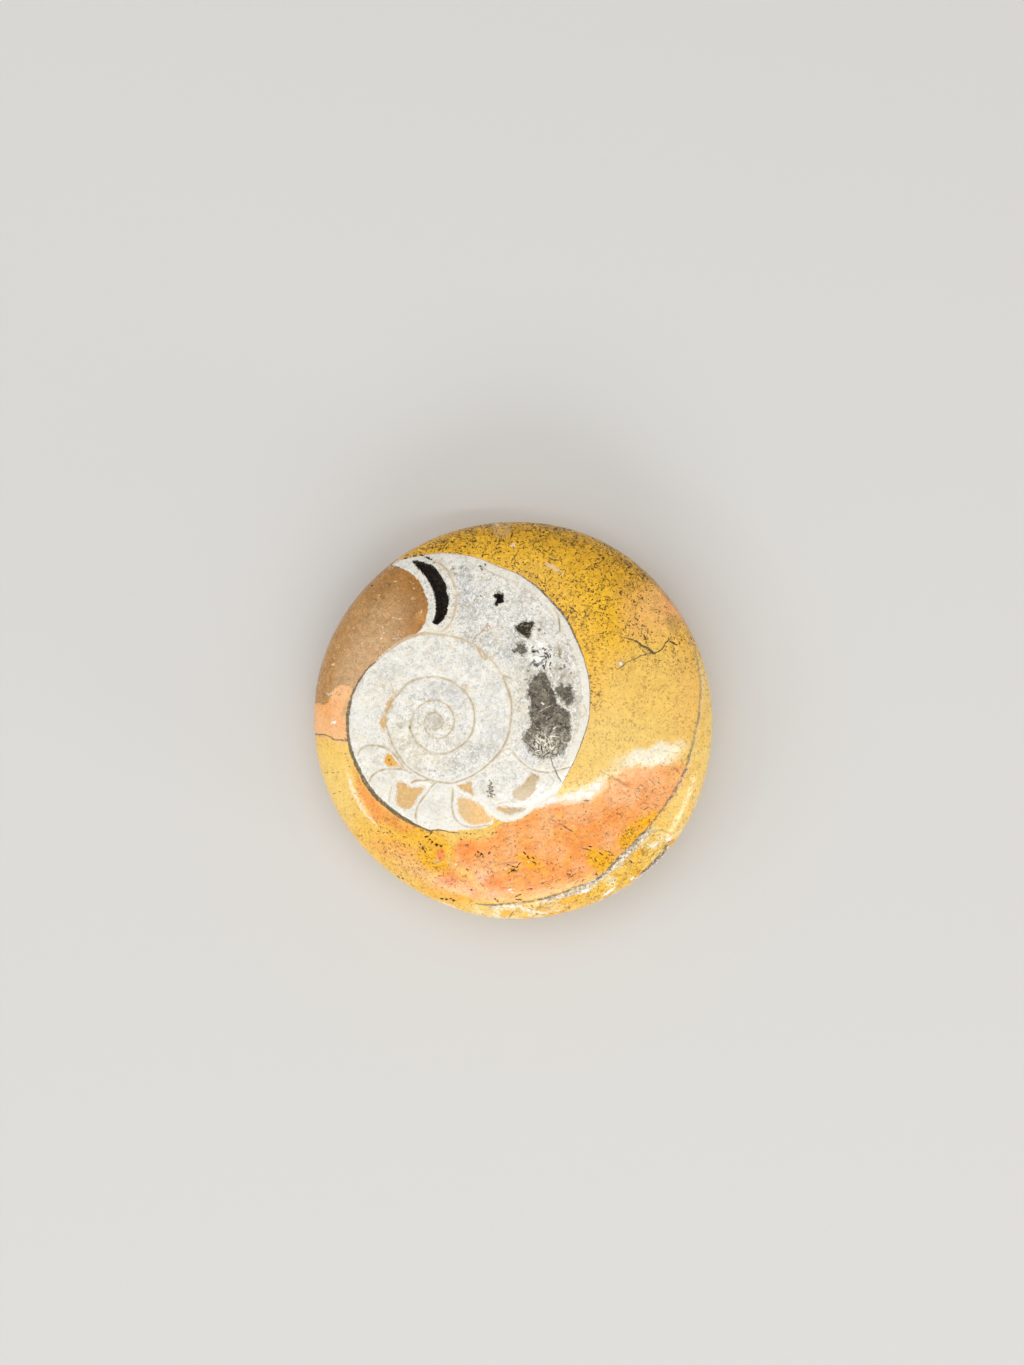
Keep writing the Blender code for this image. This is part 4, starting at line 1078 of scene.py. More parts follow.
def haze_ground():
    """Colour of the darker haze in the limestone."""
    g = np.tile(linear((216, 170, 88)), (COUNT, 1))
    paint(g, (118, 90, 32), FIELD["mustard"])
    paint(g, (236, 130, 70), FIELD["salmon"] * (1 - UNDER))
    paint(g, (204, 150, 70), UNDER)
    return g


def calcite_ground():
    """Smooth colour of the ammonite's calcite: milky, misty and ivory parts."""
    p = wobbled(UV, 6.0, 16.0, 41)
    g = np.tile(linear(MILK), (COUNT, 1))
    for u, v, a, b, turn, share in (
        (462, 577, 12, 9, 20, 0.9), (466, 590, 9, 16, 10, 0.7), (468, 610, 8, 20, 5, 0.85),
        (478, 588, 12, 10, 0, 0.4), (488, 640, 15, 9, 20, 0.7), (500, 655, 16, 8, 25, 0.75),
        (508, 640, 12, 9, 0, 0.5), (478, 630, 10, 8, 0, 0.4), (444, 660, 12, 6, 5, 0.35),
        (468, 662, 16, 9, 30, 0.35), (436, 690, 22, 7, 0, 0.75), (458, 696, 12, 9, 40, 0.7),
        (490, 700, 12, 22, 0, 0.55), (492, 735, 11, 20, 15, 0.6), (470, 758, 24, 9, -30, 0.5),
        (505, 622, 22, 10, 10, 0.35), (520, 605, 20, 12, 30, 0.25), (362, 722, 8, 24, 0, 0.3),
        (462, 722, 6, 14, 0, 0.45), (520, 714, 5, 12, 0, 0.5), (525, 742, 7, 12, 0, 0.75),
        (530, 760, 10, 6, 40, 0.5), (452, 770, 18, 6, 0, 0.35), (545, 650, 14, 12, 0, 0.35),
    ):
        paint(g, MIST, 0.8 * share * soft(spot(p, u, v, a, b, turn), 5))
    for u, v, a, b, turn, share in (
        (463, 572, 6, 4, 0, 0.6), (502, 652, 12, 5, 25, 0.6), (512, 646, 8, 6, 0, 0.5),
        (466, 612, 4, 12, 0, 0.4), (470, 578, 5, 4, 0, 0.4),
    ):
        paint(g, SMOKE, share * soft(spot(p, u, v, a, b, turn), 3))
    for u, v, a, b, turn, share in (
        (420, 600, 10, 28, -15, 0.5), (452, 604, 5, 26, 0, 0.7), (440, 629, 12, 4, 0, 0.8),
        (520, 690, 7, 24, 0, 0.7), (518, 722, 6, 14, 0, 0.6), (400, 735, 12, 16, 20, 0.75),
        (415, 755, 20, 10, 10, 0.75), (370, 760, 12, 14, 0, 0.5), (385, 690, 16, 18, 30, 0.5),
        (500, 672, 14, 8, 0, 0.5), (545, 585, 12, 8, 40, 0.4), (440, 765, 20, 7, 0, 0.55),
        (372, 690, 12, 20, 20, 0.4), (445, 725, 8, 8, 0, 0.6), (420, 735, 8, 10, 0, 0.6),
        (440, 815, 20, 10, 0, 0.35), (380, 788, 12, 14, 0, 0.4), (412, 644, 16, 6, -25, 0.5),
        (578, 690, 5, 30, 0, 0.4), (575, 740, 6, 20, 20, 0.4), (550, 765, 22, 5, 0, 0.5),
        (480, 660, 12, 5, 20, 0.35), (515, 580, 30, 6, 28, 0.4),
    ):
        paint(g, IVORY, share * soft(spot(p, u, v, a, b, turn), 5))
    paint(g, DIRTY, 0.24 * soft(spot(UV, 433.6, 722.0, 9.2, 9.6, 0), 1.3))
    for u, v, a, b, turn, share in (
        (560, 655, 10, 14, 0, 0.55), (556, 672, 14, 9, 0, 0.7), (524, 664, 9, 8, 0, 0.6),
        (572, 676, 8, 9, 0, 0.55), (541, 628, 8, 10, 0, 0.45), (518, 640, 8, 12, 0, 0.5),
        (548, 700, 32, 40, 0, 0.35), (575, 702, 6, 10, 0, 0.5), (562, 640, 8, 8, 0, 0.3),
        (531, 690, 8, 14, 0, 0.35), (434, 721, 9, 9, 0, 0.55), (505, 598, 8, 8, 0, 0.25),
    ):
        paint(g, DIRTY, share * soft(spot(p, u, v, a, b, turn), 4))
    return g


def fields():
    f = {}
    top = IS_TOP | (past < 60)
    f["fossil"] = np.where(IS_TOP, region(UV, FOSSIL, reach=40), -40.0)
    # the mud runs on a little way under the shell, so that no rock shows between them
    f["mud"] = np.where(top, region(UV, MUD_ZONE, reach=30) + 3.0 * smooth(f["fossil"], -3.0, 0.0), -30.0)
    vug = np.maximum(region(UV, CRESCENT, step=0.7, reach=8), region(UV, STAR, step=0.7, reach=8))
    f["vug"] = np.where(IS_TOP, vug, -8.0)
    f["patch"] = np.where(IS_TOP, region(UV, DARK_TOP, step=0.7, reach=12), -12.0)
    dark = region(UV, DARK_MAIN, step=0.7, reach=20)
    for outline in (DARK_LOBE, DARK_SECOND):
        dark = np.maximum(dark, region(UV, outline, step=0.7, reach=20))
    f["dark"] = np.where(IS_TOP, dark, -20.0)
    tan = np.full(COUNT, -20.0)
    for outline in TAN_FILLS:
        tan = np.maximum(tan, region(UV, outline, reach=20))
    f["tan"] = np.where(IS_TOP, tan, -20.0)
    f["peachfill"] = np.where(IS_TOP, region(UV, PEACH_FILL, reach=20), -20.0)
    f["yolk"] = np.where(IS_TOP, region(UV, YOLK_FILL, reach=20), -20.0)
    d, w, (k, tone) = layer(INK, UV, top, 2)
    f["ink_d"], f["ink_w"], f["ink_k"], f["ink_tone"] = d, w, k, tone
    for name, entries in (("beige", BEIGE), ("white", WHITE), ("brown", BROWN)):
        d, w, (k,) = layer(entries, UV, top, 1)
        f[name + "_d"], f[name + "_w"], f[name + "_k"] = d, w, k
    d, w, (k, tone) = layer(SEAM, UV, top, 2)
    f["seam_d"], f["seam_w"], f["seam_k"], f["seam_tone"] = d, w, k, tone
    # Character of the limestone: how thickly and how darkly it is flecked, how hazy and how uneven it is.
    p = wobbled(UV, 8.0, 20.0, 61)
    mustard = smooth(640 - p[:, 1] - 0.12 * (600 - p[:, 0]), -60, 36)
    dense = soft(region(p, [(400, 545), (440, 528), (500, 512), (580, 516), (640, 546), (682, 590), (660, 612), (630, 596), (600, 560), (560, 545), (520, 540), (470, 545), (430, 552)]), 12)
    beside = smooth(-f["fossil"], 30, 3) * smooth(UV[:, 1], 760, 690) * smooth(UV[:, 0], 480, 540)
    salmon = soft(region(p, [(500, 826), (552, 808), (598, 798), (622, 774), (662, 767), (690, 768), (668, 806), (630, 846), (592, 876), (545, 895), (480, 900), (436, 884), (446, 860), (470, 842)]), 7)
    corner = soft(spot(p, 412, 852, 44, 22, 32), 12)
    left = soft(spot(p, 330, 745, 26, 60, -8), 12)
    margin = smooth(-region(UV, [(513, 720), (700, 640), (702, 698), (690, 756), (652, 826), (610, 869), (575, 890), (523, 904), (487, 907)], reach=20), 0.0, 3.0) * smooth(UV[:, 1], 820, 850) * smooth(UV[:, 0], 500, 540)
    fleck = 0.50 + 0.14 * mustard
    fleck = np.maximum(fleck, 0.95 * dense)
    fleck = np.maximum(fleck, 0.80 * beside)
    fleck += (0.34 - fleck) * salmon
    fleck += (0.54 - fleck) * corner
    fleck += (0.26 - fleck) * left
    fleck += (0.56 - fleck) * margin
    fleck *= 1 - 0.45 * soft(spot(p, 565, 850, 50, 16, -15), 12)
    amber = np.maximum.reduce([soft(region(UV, outline), 3.2) for outline in AMBER_PATCHES])
    fleck += (0.60 - fleck) * amber
    fleck *= 1 - 0.62 * soft(spot(p, 664, 612, 26, 34, -38), 9)
    # flecks show less under the pale streaks and the painted highlights of the lower right
    pale_and_highlight = np.maximum.reduce([soft(spot(p, *entry[:5]), 6) for entry in PALE_AND_HIGHLIGHT_STREAKS])
    pale_and_highlight = np.maximum(pale_and_highlight, 0.8 * soft(spot(p, 652, 754, 32, 12, -14), 7))
    force = 0.50 + 0.50 * mustard
    force = np.maximum(force, beside * 0.9)
    for share, part in ((0.66, salmon), (0.85, corner), (0.35, left), (0.72, margin), (0.85, amber), (0.20, pale_and_highlight)):
        force += (share - force) * part
    hazy = 0.10 + 0.06 * mustard
    hazy = np.maximum(hazy, 0.44 * dense)
    hazy = np.maximum(hazy, 0.34 * beside)
    hazy *= 1 - 0.8 * soft(spot(p, 660, 610, 26, 34, -38), 9)
    for share, part in ((0.24, salmon), (0.30, corner), (0.10, left), (0.40, margin)):
        hazy += (share - hazy) * part
    uneven = 0.62 + 0.62 * mustard
    for share, part in ((1.0, salmon), (1.1, corner), (0.5, left), (1.3, margin)):
        uneven += (share - uneven) * part
    below = UNDER
    f["fleck"] = fleck * (1 - below) + below * (0.50 + 0.20 * cloud(P3, 60, 66))
    f["force"] = force * (1 - below) + below * 0.75
    f["hazy"] = hazy * (1 - below) + below * 0.26
    f["uneven"] = uneven * (1 - below) + below * 1.0
    f["salmon"] = salmon * (1 - below) + below * 0.35
    f["mustard"] = mustard * (1 - below)
    # Character of the calcite: how busily it is mottled, and where fine fibres stand square to the whorl.
    q = wobbled(UV, 4.0, 14.0, 81)
    busy = np.full(COUNT, 0.78)
    for u, v, a, b, turn, share in (
        (500, 605, 78, 34, 22, 1.12), (470, 590, 24, 30, 0, 1.32), (556, 650, 26, 34, 0, 1.42),
        (548, 708, 34, 60, 0, 1.0), (490, 642, 32, 16, 20, 1.15), (440, 656, 46, 10, 0, 0.78),
        (430, 722, 34, 30, 0, 0.95), (470, 758, 50, 18, -20, 0.98), (360, 720, 16, 40, 0, 0.62),
        (494, 715, 12, 40, 0, 0.75), (560, 620, 16, 26, 40, 1.0), (425, 806, 90, 26, 14, 0.52),
    ):
        busy += (share - busy) * soft(spot(q, u, v, a, b, turn), 8)
    f["busy"] = busy
    f["fibre"] = np.maximum.reduce(
        [
            0.60 * soft(spot(q, 440, 744, 20, 7, 0), 4),
            0.45 * soft(spot(q, 405, 735, 14, 18, 20), 5),
            0.35 * soft(spot(q, 418, 760, 20, 7, 15), 5),
            0.30 * soft(spot(q, 444, 708, 12, 8, 30), 4),
        ]
    )
    f["crystals"] = soft(spot(UV, 540, 656, 15, 14, 20), 4) * IS_TOP
    return f


FIELD = fields()
ROCK = rock_ground()
ROCK = ROCK * (1 - UNDER)[:, None] + underside_ground() * UNDER[:, None]
CALCITE = calcite_ground()
HAZE = haze_ground()
CHIPS = chips(DARK_CHIPS, 3) + chips(PALE_CHIPS, 2)
DARK_SETS = 3


# ---------------------------------------------------------------- relief
def relief():
    """How deep each vertex lies under the polished surface, in metres."""
    f = FIELD
    inside_shell = smooth(f["fossil"], -0.6, 1.4)
    mud = smooth(f["mud"], -0.6, 1.4) * (1 - inside_shell)
    # Hard calcite stands a hair proud of the limestone, and the mud lies lowest.
    depth = 0.000030 * (1 - inside_shell) + 0.000020 * mud
    depth += 0.000006 * (1 + cloud(P3, 46.0, 7)) + 0.000004 * (1 + cloud(P3, 9.0, 8)) * (1 - UNDER)
    druse = noise(P3, 2.6, 91) * 0.6 + noise(P3, 1.5, 92) * 0.4
    hole = smooth(f["vug"], 0.15, 2.4)
    depth += hole * (0.00115 + 0.00050 * smooth(f["vug"], 1.5, 6.5) + 0.00022 * druse)
    patch = smooth(f["patch"], -0.2, 2.0)
    depth += patch * (0.00022 + 0.00016 * druse)
    dark = smooth(f["dark"], 0.0, 3.0)
    depth += dark * (0.000060 + 0.000035 * druse)
    # rough crystals between the dark patches
    rough = soft(spot(UV, 541, 656, 12, 11, 20), 3) * IS_TOP
    depth += rough * (0.00010 + 0.00012 * noise(P3, 2.9, 94))
    for name, deep in (("ink", 0.000075), ("beige", 0.000022), ("brown", 0.000035)):
        d, w, k = f[name + "_d"], f[name + "_w"], f[name + "_k"]
        line = np.exp(-((d / np.maximum(w + 0.45, 0.5)) ** 2)) * (w > 0.0)
        depth += deep * k * np.clip(0.35 + w / 1.6, 0.0, 1.0) * line
    # the crystals of the seam stand unevenly, and small dark marks are pits
    seam = smooth(f["seam_w"] - np.abs(f["seam_d"]), -0.6, 0.8) * f["seam_k"]
    depth += seam * (0.000020 + 0.000045 * noise(P3, 2.4, 95))
    for spots, _ in CHIPS[:DARK_SETS]:
        depth += 0.000060 * smooth(np.hypot(spots[:, 0], spots[:, 1]), 1.6, 0.6) * spots[:, 2]
    # fine pits where grains have dropped out, mostly where the flecks are thick
    pit = smooth(noise(P3, 3.4, 97), 0.62, 0.85) * (1 - inside_shell) * (1 - mud)
    depth += pit * 0.000035 * np.clip(f["fleck"] + 0.2, 0, 1)
    return depth


def snapped_points():
    """Pulls the vertices nearest the open cavities' edges on to those edges."""
    points = POINTS.copy()
    for outline in (CRESCENT, STAR):
        line = curve(outline, closed=True, step=0.7)
        low, high = line.min(0) - 3, line.max(0) + 3
        near = np.flatnonzero(((UV > low) & (UV < high)).all(1) & IS_TOP)
        a = line
        b = np.roll(line, -1, axis=0)
        dist, _, seg, along = nearest(UV[near], line, closed=True)
        target = a[seg] + (b - a)[seg] * along[:, None]
        close = dist < 0.62
        move = (target - UV[near])[close]
        pick = near[close]
        scale = (EYE.z - POINTS[pick, 2]) / FOCAL
        points[pick, 0] += move[:, 0] * scale
        points[pick, 1] -= move[:, 1] * scale
        FIELD["vug"][pick] = 0.0
    return points


def stone_mesh():
    points = snapped_points()
    points = points - NORMALS * relief()[:, None]
    points[:, 2] = np.clip(points[:, 2], 0.0, THICKNESS)
    # the ground flat stays flat
    flat = (~IS_TOP) & (POINTS[:, 2] < 1e-6)
    points[flat, 2] = 0.0
    mesh = bpy.data.meshes.new("fossil_stone_polished")
    mesh.vertices.add(COUNT)
    mesh.vertices.foreach_set("co", points.astype(np.float32).ravel())
    mesh.loops.add(3 * len(FACES))
    mesh.loops.foreach_set("vertex_index", FACES.astype(np.int32).ravel())
    mesh.polygons.add(len(FACES))
    mesh.polygons.foreach_set("loop_start", np.arange(0, 3 * len(FACES), 3, dtype=np.int32))
    mesh.polygons.foreach_set("loop_total", np.full(len(FACES), 3, dtype=np.int32))
    mesh.update(calc_edges=True)
    mesh.validate(verbose=False)
    for name, values in FIELD.items():
        attribute = mesh.attributes.new("f_" + name, "FLOAT", "POINT")
        attribute.data.foreach_set("value", values.astype(np.float32))
    for number, (spots, tones) in enumerate(CHIPS):
        attribute = mesh.attributes.new(f"v_chip{number}", "FLOAT_VECTOR", "POINT")
        attribute.data.foreach_set("vector", spots.astype(np.float32).ravel())
        attribute = mesh.attributes.new(f"f_chip{number}", "FLOAT", "POINT")
        attribute.data.foreach_set("value", tones.astype(np.float32))
    for name, values in (("rock", ROCK), ("haze", HAZE), ("calcite", CALCITE)):
        attribute = mesh.attributes.new("c_" + name, "FLOAT_VECTOR", "POINT")
        attribute.data.foreach_set("vector", values.astype(np.float32).ravel())
    for name, values in (("u", UV[:, 0]), ("v", UV[:, 1]), ("under", UNDER)):
        attribute = mesh.attributes.new("f_" + name, "FLOAT", "POINT")
        attribute.data.foreach_set("value", values.astype(np.float32))
    # unfolded map: the dome in one corner, the underside, smaller, in the other
    share_top = LENGTHS / TOP_LENGTH
    under_length = LENGTHS.max() - TOP_LENGTH
    map_uv = np.empty((COUNT, 2))
    rt = 0.388 * share_top
    map_uv[:, 0] = 0.394 + rt * np.cos(ANGLE)
    map_uv[:, 1] = 0.394 + rt * np.sin(ANGLE)
    ru = 0.178 * (LENGTHS.max() - LENGTHS) / under_length
    under_uv = np.column_stack([0.816 - ru * np.cos(ANGLE), 0.816 + ru * np.sin(ANGLE)])
    layer_uv = mesh.uv_layers.new(name="OFBake")
    corner_uv = map_uv[FACES]
    lower_face = (FACES >= TOP_COUNT).any(1)
    corner_uv[lower_face] = under_uv[FACES[lower_face]]
    layer_uv.data.foreach_set("uv", corner_uv.astype(np.float32).ravel())
    mesh.shade_smooth()
    return mesh


# ---------------------------------------------------------------- material
class Graph:
    """Short ways to write shader nodes."""

    def __init__(self, tree):
        self.tree = tree
        self.made = {}

    def node(self, kind, **settings):
        node = self.tree.nodes.new(kind)
        for key, value in settings.items():
            setattr(node, key, value)
        return node

    def put(self, socket, value):
        if isinstance(value, bpy.types.NodeSocket):
            self.tree.links.new(value, socket)
        elif isinstance(value, (tuple, list)):
            value = tuple(value)
            if socket.type == "RGBA" and len(value) == 3:
                value = (*value, 1.0)
            socket.default_value = value
        else:
            socket.default_value = value

    def math(self, op, a, b=None, c=None, clamp=False):
        node = self.node("ShaderNodeMath", operation=op, use_clamp=clamp)
        for socket, value in zip(node.inputs, (a, b, c)):
            if value is not None:
                self.put(socket, value)
        return node.outputs[0]

    def add(self, a, b):
        return self.math("ADD", a, b)

    def sub(self, a, b):
        return self.math("SUBTRACT", a, b)

    def mul(self, a, b):
        return self.math("MULTIPLY", a, b)

    def clamped(self, a):
        return self.math("ADD", a, 0.0, clamp=True)

    def vec(self, op, a, b=None, scale=None):
        node = self.node("ShaderNodeVectorMath", operation=op)
        self.put(node.inputs[0], a)
        if b is not None:
            self.put(node.inputs[1], b)
        if scale is not None:
            self.put(node.inputs["Scale"], scale)
        return node.outputs["Value"] if op in ("LENGTH", "DOT_PRODUCT", "DISTANCE") else node.outputs[0]

    def step(self, x, low, high, to_low=0.0, to_high=1.0):
        node = self.node("ShaderNodeMapRange", interpolation_type="SMOOTHSTEP", clamp=True)
        self.put(node.inputs["Value"], x)
        self.put(node.inputs["From Min"], low)
        self.put(node.inputs["From Max"], high)
        self.put(node.inputs["To Min"], to_low)
        self.put(node.inputs["To Max"], to_high)
        return node.outputs[0]

    def ramp(self, x, low, high, to_low=0.0, to_high=1.0):
        node = self.node("ShaderNodeMapRange", interpolation_type="LINEAR", clamp=True)
        self.put(node.inputs["Value"], x)
        self.put(node.inputs["From Min"], low)
        self.put(node.inputs["From Max"], high)
        self.put(node.inputs["To Min"], to_low)
        self.put(node.inputs["To Max"], to_high)
        return node.outputs[0]

    def mix(self, factor, a, b):
        node = self.node("ShaderNodeMix", data_type="VECTOR", factor_mode="UNIFORM", clamp_factor=True)
        self.put(node.inputs[0], factor)
        self.put(node.inputs[4], a)
        self.put(node.inputs[5], b)
        return node.outputs[1]

    def blend(self, factor, a, b):
        node = self.node("ShaderNodeMix", data_type="FLOAT", clamp_factor=True)
        self.put(node.inputs["Factor"], factor)
        self.put(node.inputs[2], a)
        self.put(node.inputs[3], b)
        return node.outputs[0]

    def value(self, name):
        if name not in self.made:
            node = self.node("ShaderNodeAttribute", attribute_name=name, attribute_type="GEOMETRY")
            self.made[name] = node
        return self.made[name].outputs["Fac"]

    def colour(self, name):
        if name not in self.made:
            node = self.node("ShaderNodeAttribute", attribute_name=name, attribute_type="GEOMETRY")
            self.made[name] = node
        return self.made[name].outputs["Vector"]

    def move(self, node, offset):
        """Shift the pattern inside the texture node, which keeps the shader small."""
        node.texture_mapping.vector_type = "POINT"
        node.texture_mapping.translation = offset

    def noise(self, place, size, detail=2.0, rough=0.5, twist=0.0, shift=0.0):
        """Noise from about 0 to 1, with features about size units across."""
        node = self.node("ShaderNodeTexNoise", noise_dimensions="3D", normalize=True)
        self.move(node, (shift, shift * 0.7, -shift * 0.4))
        self.put(node.inputs["Vector"], place)
        node.inputs["Scale"].default_value = 1.0 / size
        node.inputs["Detail"].default_value = detail
        node.inputs["Roughness"].default_value = rough
        node.inputs["Distortion"].default_value = twist
        return node.outputs["Fac"]

    def stretched(self, place, turn, along):
        """Coordinates in which features are drawn out in one direction across the disc."""
        node = self.node("ShaderNodeMapping", vector_type="POINT")
        self.put(node.inputs["Vector"], place)
        node.inputs["Rotation"].default_value = (0.0, 0.0, math.radians(-turn))
        squeeze = self.node("ShaderNodeVectorMath", operation="MULTIPLY")
        self.put(squeeze.inputs[0], node.outputs[0])
        squeeze.inputs[1].default_value = (1.0 / along, 1.0, 1.0)
        return squeeze.outputs[0]

    def ridge(self, x, low, high):
        """1 where a noise value is near its middle, which makes thin wandering lines."""
        return self.step(self.math("ABSOLUTE", self.sub(x, 0.5)), low, high)

    def cells(self, place, size, feature="F1", shift=0.0, jitter=1.0):
        node = self.node("ShaderNodeTexVoronoi", voronoi_dimensions="3D", feature=feature)
        self.move(node, (shift, -shift, shift * 0.5))
        self.put(node.inputs["Vector"], place)
        node.inputs["Scale"].default_value = 1.0 / size
        node.inputs["Randomness"].default_value = jitter
        return node.outputs["Distance"]


def rgb(colour):
    return tuple(float(c) for c in linear(colour))


def flecks_look(g, px):
    """Short dark threads and grain edges, broken up, as many as f_fleck says."""
    fleck = g.value("f_fleck")
    push = g.ramp(g.noise(px, 12.0, 2.0, 0.6, shift=271.0), 0.35, 0.65, -0.062, 0.062)

    def gated(threads, size, shift, base, span):
        level = g.sub(g.sub(base, g.mul(fleck, span)), push)
        return g.mul(threads, g.step(g.noise(px, size, 1.0, 0.5, shift=shift), level, g.add(level, 0.07)))

    threads = g.ridge(g.noise(px, 3.2, 1.0, 0.5, 0.4, shift=201.0), 0.096, 0.022)
    edges = g.step(g.cells(px, 4.6, "DISTANCE_TO_EDGE", shift=31.0), 0.125, 0.03)
    grit = g.step(g.noise(px, 1.35, 1.0, 0.5, shift=361.0), 0.64, 0.72)
    large = g.math("MAXIMUM", gated(threads, 2.7, 251.0, 0.645, 0.17), gated(edges, 2.9, 351.0, 0.65, 0.17))
    return g.math("MAXIMUM", large, g.mul(gated(grit, 5.5, 371.0, 0.56, 0.17), 0.85))


def rock_look(g, px, flecks):
    """Limestone: its ground colour with grain, haze, pale grains, drawn-out streaks and dark flecks."""
    uneven = g.value("f_uneven")
    light = g.add(
        g.ramp(g.noise(px, 9.0, 4.0, 0.6, shift=23.0), 0.3, 0.7, -0.13, 0.13),
        g.add(
            g.ramp(g.noise(px, 3.2, 3.0, 0.6, shift=13.0), 0.3, 0.7, -0.10, 0.10),
            g.ramp(g.noise(px, 1.5, 2.0, 0.6, shift=3.0), 0.3, 0.7, -0.10, 0.10),
        ),
    )
    streaky = g.stretched(px, 22.0, 3.2)
    salmon = g.value("f_salmon")
    drawn = g.ramp(g.noise(streaky, 3.0, 3.0, 0.6, shift=33.0), 0.3, 0.7, -0.11, 0.11)
    light = g.add(light, g.mul(drawn, g.add(g.mul(salmon, 0.9), 0.15)))
    colour = g.vec("SCALE", g.colour("c_rock"), scale=g.add(g.mul(light, uneven), 1.0))
    haze = g.mul(g.step(g.noise(px, 6.5, 4.0, 0.7, 0.5, shift=401.0), 0.42, 0.66), g.value("f_hazy"))
    colour = g.mix(haze, colour, g.colour("c_haze"))
    ruddy = g.step(g.noise(streaky, 5.5, 4.0, 0.66, shift=131.0), 0.50, 0.70)
    colour = g.mix(g.mul(g.mul(ruddy, salmon), 0.34), colour, rgb((246, 144, 74)))
    pale = g.step(g.noise(px, 4.5, 3.0, 0.7, 0.3, shift=411.0), 0.54, 0.70)
    colour = g.mix(g.mul(pale, 0.24), colour, rgb((255, 224, 120)))
    pale = g.step(g.noise(streaky, 4.0, 3.0, 0.66, shift=421.0), 0.52, 0.70)
    colour = g.mix(g.mul(g.mul(pale, salmon), 0.30), colour, rgb((255, 212, 158)))
    force = g.value("f_force")
    tone = g.ramp(g.noise(px, 5.0, 1.0, 0.5, shift=431.0), 0.35, 0.60, 0.55, 1.0)
    dark = g.mix(g.step(force, 0.55, 0.98), rgb((122, 66, 6)), rgb((54, 32, 0)))
    return g.mix(g.mul(flecks, g.mul(tone, force)), colour, dark)


def mud_look(g, px, u, v):
    """Brown mud of the living chamber: fine grain, pale and dark grains, thin arcs, rust at the tip and the wall, and
    painted shade towards the disc's edge.
    """
    colour = g.mix(g.step(g.add(u, g.mul(g.sub(v, 560.0), 0.15)), 392.0, 432.0), rgb(MUD), rgb((172, 118, 56)))
    colour = g.mix(g.mul(g.step(v, 618.0, 572.0), 0.70), colour, rgb((162, 110, 50)))
    # painted shade: browner and darker towards the disc's edge, to offset the grey sheen the lamps leave on the rim
    rim = g.step(g.vec("LENGTH", g_combine(g, g.sub(u, 513.0), g.sub(v, 720.0))), 168.0, 194.0)
    colour = g.mix(g.mul(rim, 0.55), colour, rgb((180, 128, 66)))
    rusty = g.step(g.noise(px, 10.0, 3.0, 0.6, shift=421.0), 0.50, 0.72)
    colour = g.mix(g.mul(rusty, 0.34), colour, rgb((182, 118, 50)))
    glow = g.sub(1.0, g.ramp(g.vec("DISTANCE", g_combine(g, u, v), (421.5, 617.0, 0.0)), 1.5, 9.0))
    colour = g.mix(g.mul(glow, 0.6), colour, rgb((208, 148, 76)))
    light = g.add(
        g.add(
            g.ramp(g.noise(px, 1.6, 2.0, 0.6, shift=3.0), 0.3, 0.7, -0.22, 0.22),
            g.ramp(g.noise(px, 4.0, 3.0, 0.6, shift=13.0), 0.3, 0.7, -0.17, 0.17),
        ),
        g.ramp(g.noise(px, 20.0, 4.0, 0.6, 0.8, shift=43.0), 0.3, 0.7, -0.14, 0.14),
    )
    colour = g.vec("SCALE", colour, scale=g.add(light, 1.0))
    dots = g.mul(g.step(g.cells(px, 5.0, shift=5.0), 0.21, 0.09), g.step(g.noise(px, 9.0, 2.0, shift=441.0), 0.52, 0.60))
    colour = g.mix(g.mul(dots, 0.70), colour, rgb((240, 200, 140)))
    dots = g.mul(g.step(g.cells(px, 4.6, shift=25.0), 0.22, 0.10), g.step(g.noise(px, 8.0, 2.0, shift=461.0), 0.55, 0.62))
    colour = g.mix(g.mul(dots, 0.6), colour, rgb((110, 74, 36)))
    arcs = g.mul(g.ridge(g.noise(px, 9.0, 2.0, 0.5, 0.6, shift=471.0), 0.03, 0.006), g.step(g.noise(px, 6.0, 2.0, shift=481.0), 0.54, 0.62))
    return g.mix(g.mul(arcs, 0.45), colour, rgb((238, 204, 156)))


